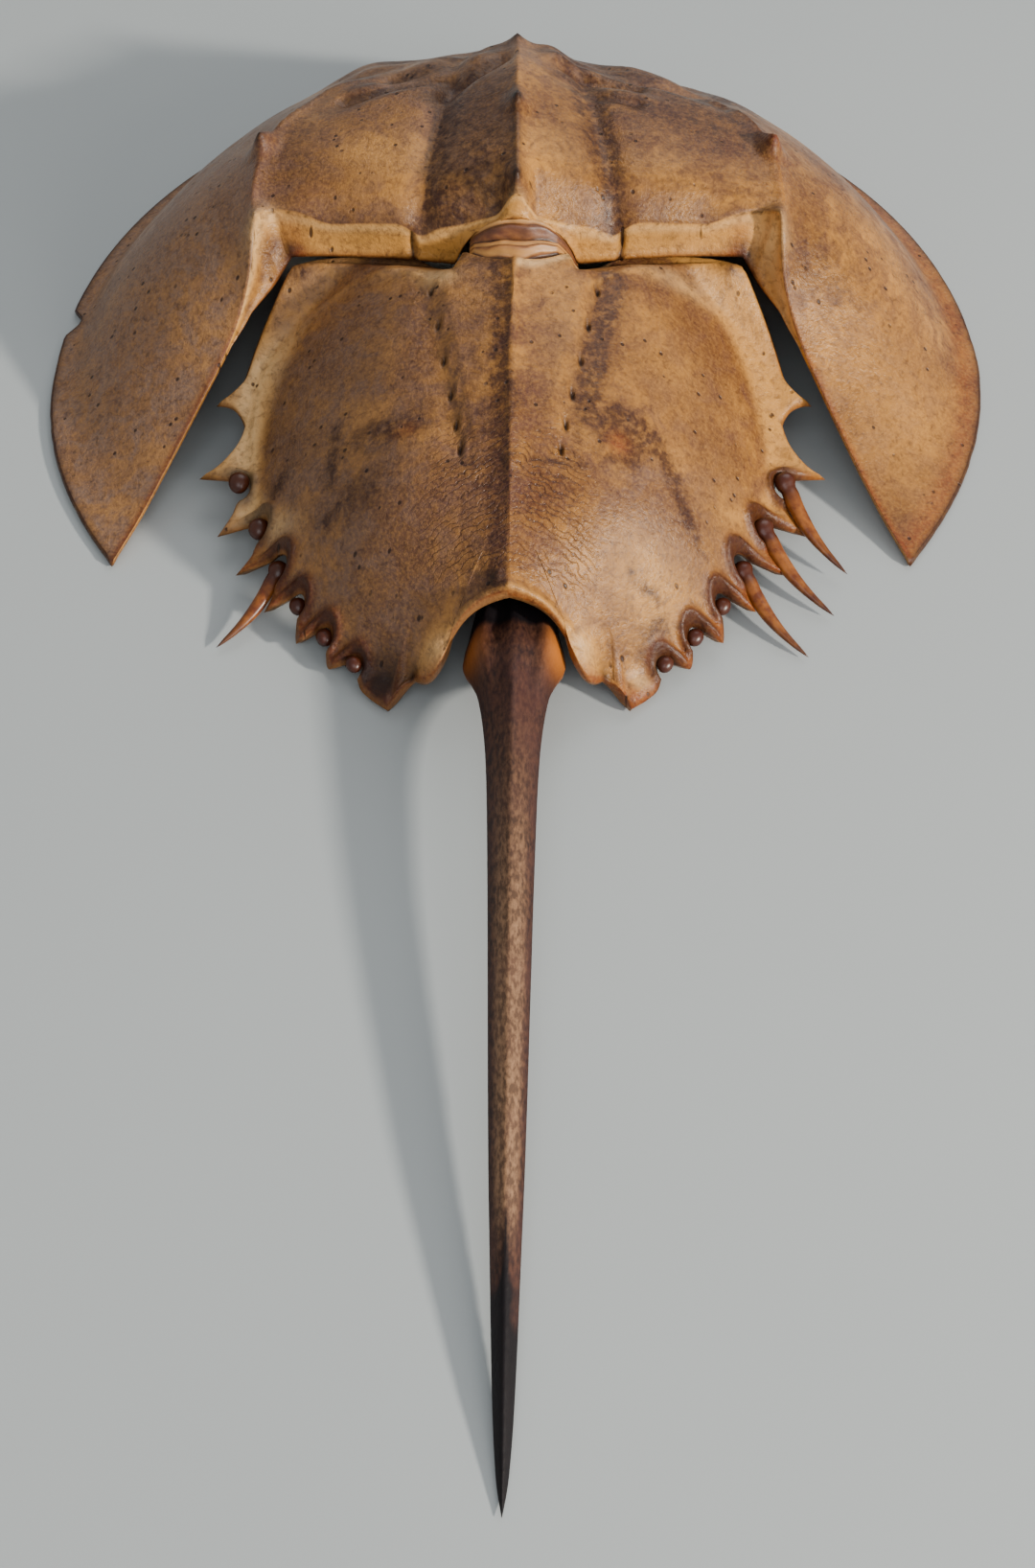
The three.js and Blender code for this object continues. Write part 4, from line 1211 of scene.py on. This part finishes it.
def tail_horn():
    # The tail's thick horn, dried: matt and pitted along its length, worn pale on top, glossy
    # orange at the root's two knobs, the right one stronger as painted highlight, and black towards the
    # tip; its root's front end, inside the shell's hollow, is black as painted shade.
    surface, tree, shader = new_surface("dried tail horn")
    place = in_millimetres(tree, (1, 2.2, 1))
    colour = stained(tree, linear("#281816"), [
        (mottle(tree, place, 0.8, 5, (0.38, 0.66)), 1, "#503325"),
        (mottle(tree, in_millimetres(tree), 12, 4, (0.42, 0.62)), 0.5, "#4a2d28"),
        ("worn", mottle(tree, place, 0.8, 5, (0.42, 0.64), (0.45, 1.4)), "#a17c5c"),
        ("edge", 0.6, "#2a1816"),
        ("knob", 1, "#a9601f"),
        ("black_and_shade", 0.97, "#100d10"),
    ])
    shader.inputs["Roughness"].default_value = 0.5
    shader.inputs["Specular IOR Level"].default_value = 0.2
    finish_surface(tree, shader, colour, mottle(tree, place, 0.8, 5), 0.5, 0.00025)
    return surface


def spine_horn():
    # Small horn spines: smooth, hard and waxy, amber where thin light comes through, deep red-brown
    # where they are thick at the root, and dark at the ends.
    surface, tree, shader = new_surface("amber spine horn")
    place = in_millimetres(tree)
    tip = add(tree, "ShaderNodeAttribute", {}, "Fac", attribute_name="tip")
    tip = add(tree, "ShaderNodeMapRange", {0: tip, 1: 0.5}, clamp=True)
    colour = stained(tree, linear("#5f2c10"), [
        (mottle(tree, place, 2.5, 3, (0.35, 0.65)), 1, "#95571f"),
        ("root", 0.9, "#3a140c"),
        (tip, 0.85, "#27130f"),
    ])
    shader.inputs["Roughness"].default_value = 0.34
    shader.inputs["IOR"].default_value = 1.5
    finish_surface(tree, shader, colour, mottle(tree, place, 2.5, 3), 0.2, 0.0002)
    return surface


def joint_skin():
    # Joint skin, dried hard in its pleats: leathery, reddish brown, paler on the folds, partly as
    # painted highlight, and dark between them, as painted shade where the pleats meet and under the rear
    # shell.
    surface, tree, shader = new_surface("dried joint skin")
    place = in_millimetres(tree, (2, 1, 1))
    colour = stained(tree, linear("#74401f"), [
        (mottle(tree, place, 1.2, 4, (0.35, 0.65)), 1, "#a0642e"),
        ("pale", 0.85, "#c8924f"),
        ("fold", 0.85, "#4c2a20"),
        ("dark", 0.9, "#1d100e"),
    ])
    shader.inputs["Roughness"].default_value = 0.45
    finish_surface(tree, shader, colour, mottle(tree, place, 1.2, 4), 0.35, 0.0002)
    return surface


def painted_board():
    # A painted board under the shell: matt, pale blue-grey.
    surface, tree, shader = new_surface("matt painted board")
    cloudy = mottle(tree, in_millimetres(tree), 160, 3)
    colour = stained(tree, linear("#a3a8a9"), [(cloudy, 1, "#a9aeae")])
    tree.links.new(colour, shader.inputs["Base Color"])
    shader.inputs["Roughness"].default_value = 0.75
    return surface


# Pieces


def finish_piece(piece, surface, slot, *nodes):
    piece.data.materials.append(surface)
    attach(piece, "root")
    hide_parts(*nodes)


plate = dried_chitin()
front = skin("front_shell_skin", FRONT_COLUMNS, len(FRONT_ROWS), front_place, PLATE_TINTS)
finish_piece(front, plate, "shell_plate", "front_shell")
rear = skin("rear_shell_skin", REAR_COLUMNS, len(REAR_ROWS), rear_place, PLATE_TINTS)
finish_piece(rear, plate, "shell_plate", "rear_shell")
pleats = skin("hinge_skin_pleats", SKIN_COLUMNS, len(SKIN_ROWS), skin_place, SKIN_TINTS)
finish_piece(pleats, joint_skin(), "hinge_skin", "hinge_skin")
tail = skin("tail_spine_horn", TAIL_COLUMNS, len(TAIL_ROWS), tail_place, TAIL_TINTS, bent=False)
finish_piece(tail, tail_horn(), "tail_horn", "tail_spine")
amber = spine_horn()
for name, side in (("right", 1), ("left", -1)):
    for index, reach in enumerate(SPINES[name]):
        place = side_spine(index, side, reach)
        spine = skin(f"side_spine_{name}_{index + 1}_horn", SPINE_COLUMNS, SPINE_ROWS, place, SPINE_TINTS)
        finish_piece(spine, amber, "spine_horn", f"side_spine_{name}_{index + 1}")


# Floor, light and camera

table = bmesh.new()
bmesh.ops.create_grid(table, x_segments=1, y_segments=1, size=3)
table_mesh = bpy.data.meshes.new("floor")
table.to_mesh(table_mesh)
table.free()
table_mesh.materials.append(painted_board())
floor = bpy.data.objects.new("floor", table_mesh)
bpy.context.scene.collection.objects.link(floor)


def soft_light(name, place, aim, size, watts, colour):
    light = bpy.data.lights.new(name, "AREA")
    light.size = size
    light.energy = watts
    light.color = colour
    lamp = bpy.data.objects.new(name, light)
    lamp.location = place
    lamp.rotation_euler = (Vector(aim) - Vector(place)).to_track_quat("-Z", "Y").to_euler()
    bpy.context.scene.collection.objects.link(lamp)


soft_light("window", (1.16, -0.56, 0.63), (0, 0.03, 0.02), 0.1, 31, (1.0, 0.94, 0.85))
soft_light("second window", (0.8, -0.86, 0.68), (0, 0, 0.02), 0.5, 5, (1.0, 0.96, 0.92))
soft_light("bounce", (-0.1, -0.9, 1.25), (0, 0, 0), 0.9, 6, (0.9, 0.95, 1.0))
soft_light("back window", (0.4, 1.25, 1.2), (0, 0.1, 0), 1.2, 10, (0.96, 0.98, 1.0))

world = bpy.data.worlds.new("soft room")
world.use_nodes = True
world.node_tree.nodes["Background"].inputs["Color"].default_value = linear("#cfd0d0")
world.node_tree.nodes["Background"].inputs["Strength"].default_value = 0.62
bpy.context.scene.world = world

# The camera's place in metres, and how steeply it looks down, in degrees
CAMERA_PLACE = (0, -0.3840, 0.4739)
CAMERA_FALL = 53

camera = bpy.data.cameras.new("photo_view")
camera.lens = 70
camera.sensor_width = 36
photo_view = bpy.data.objects.new("photo_view", camera)
photo_view.location = CAMERA_PLACE
photo_view.rotation_euler = (math.radians(90 - CAMERA_FALL), 0, 0)
bpy.context.scene.collection.objects.link(photo_view)
bpy.context.scene.camera = photo_view
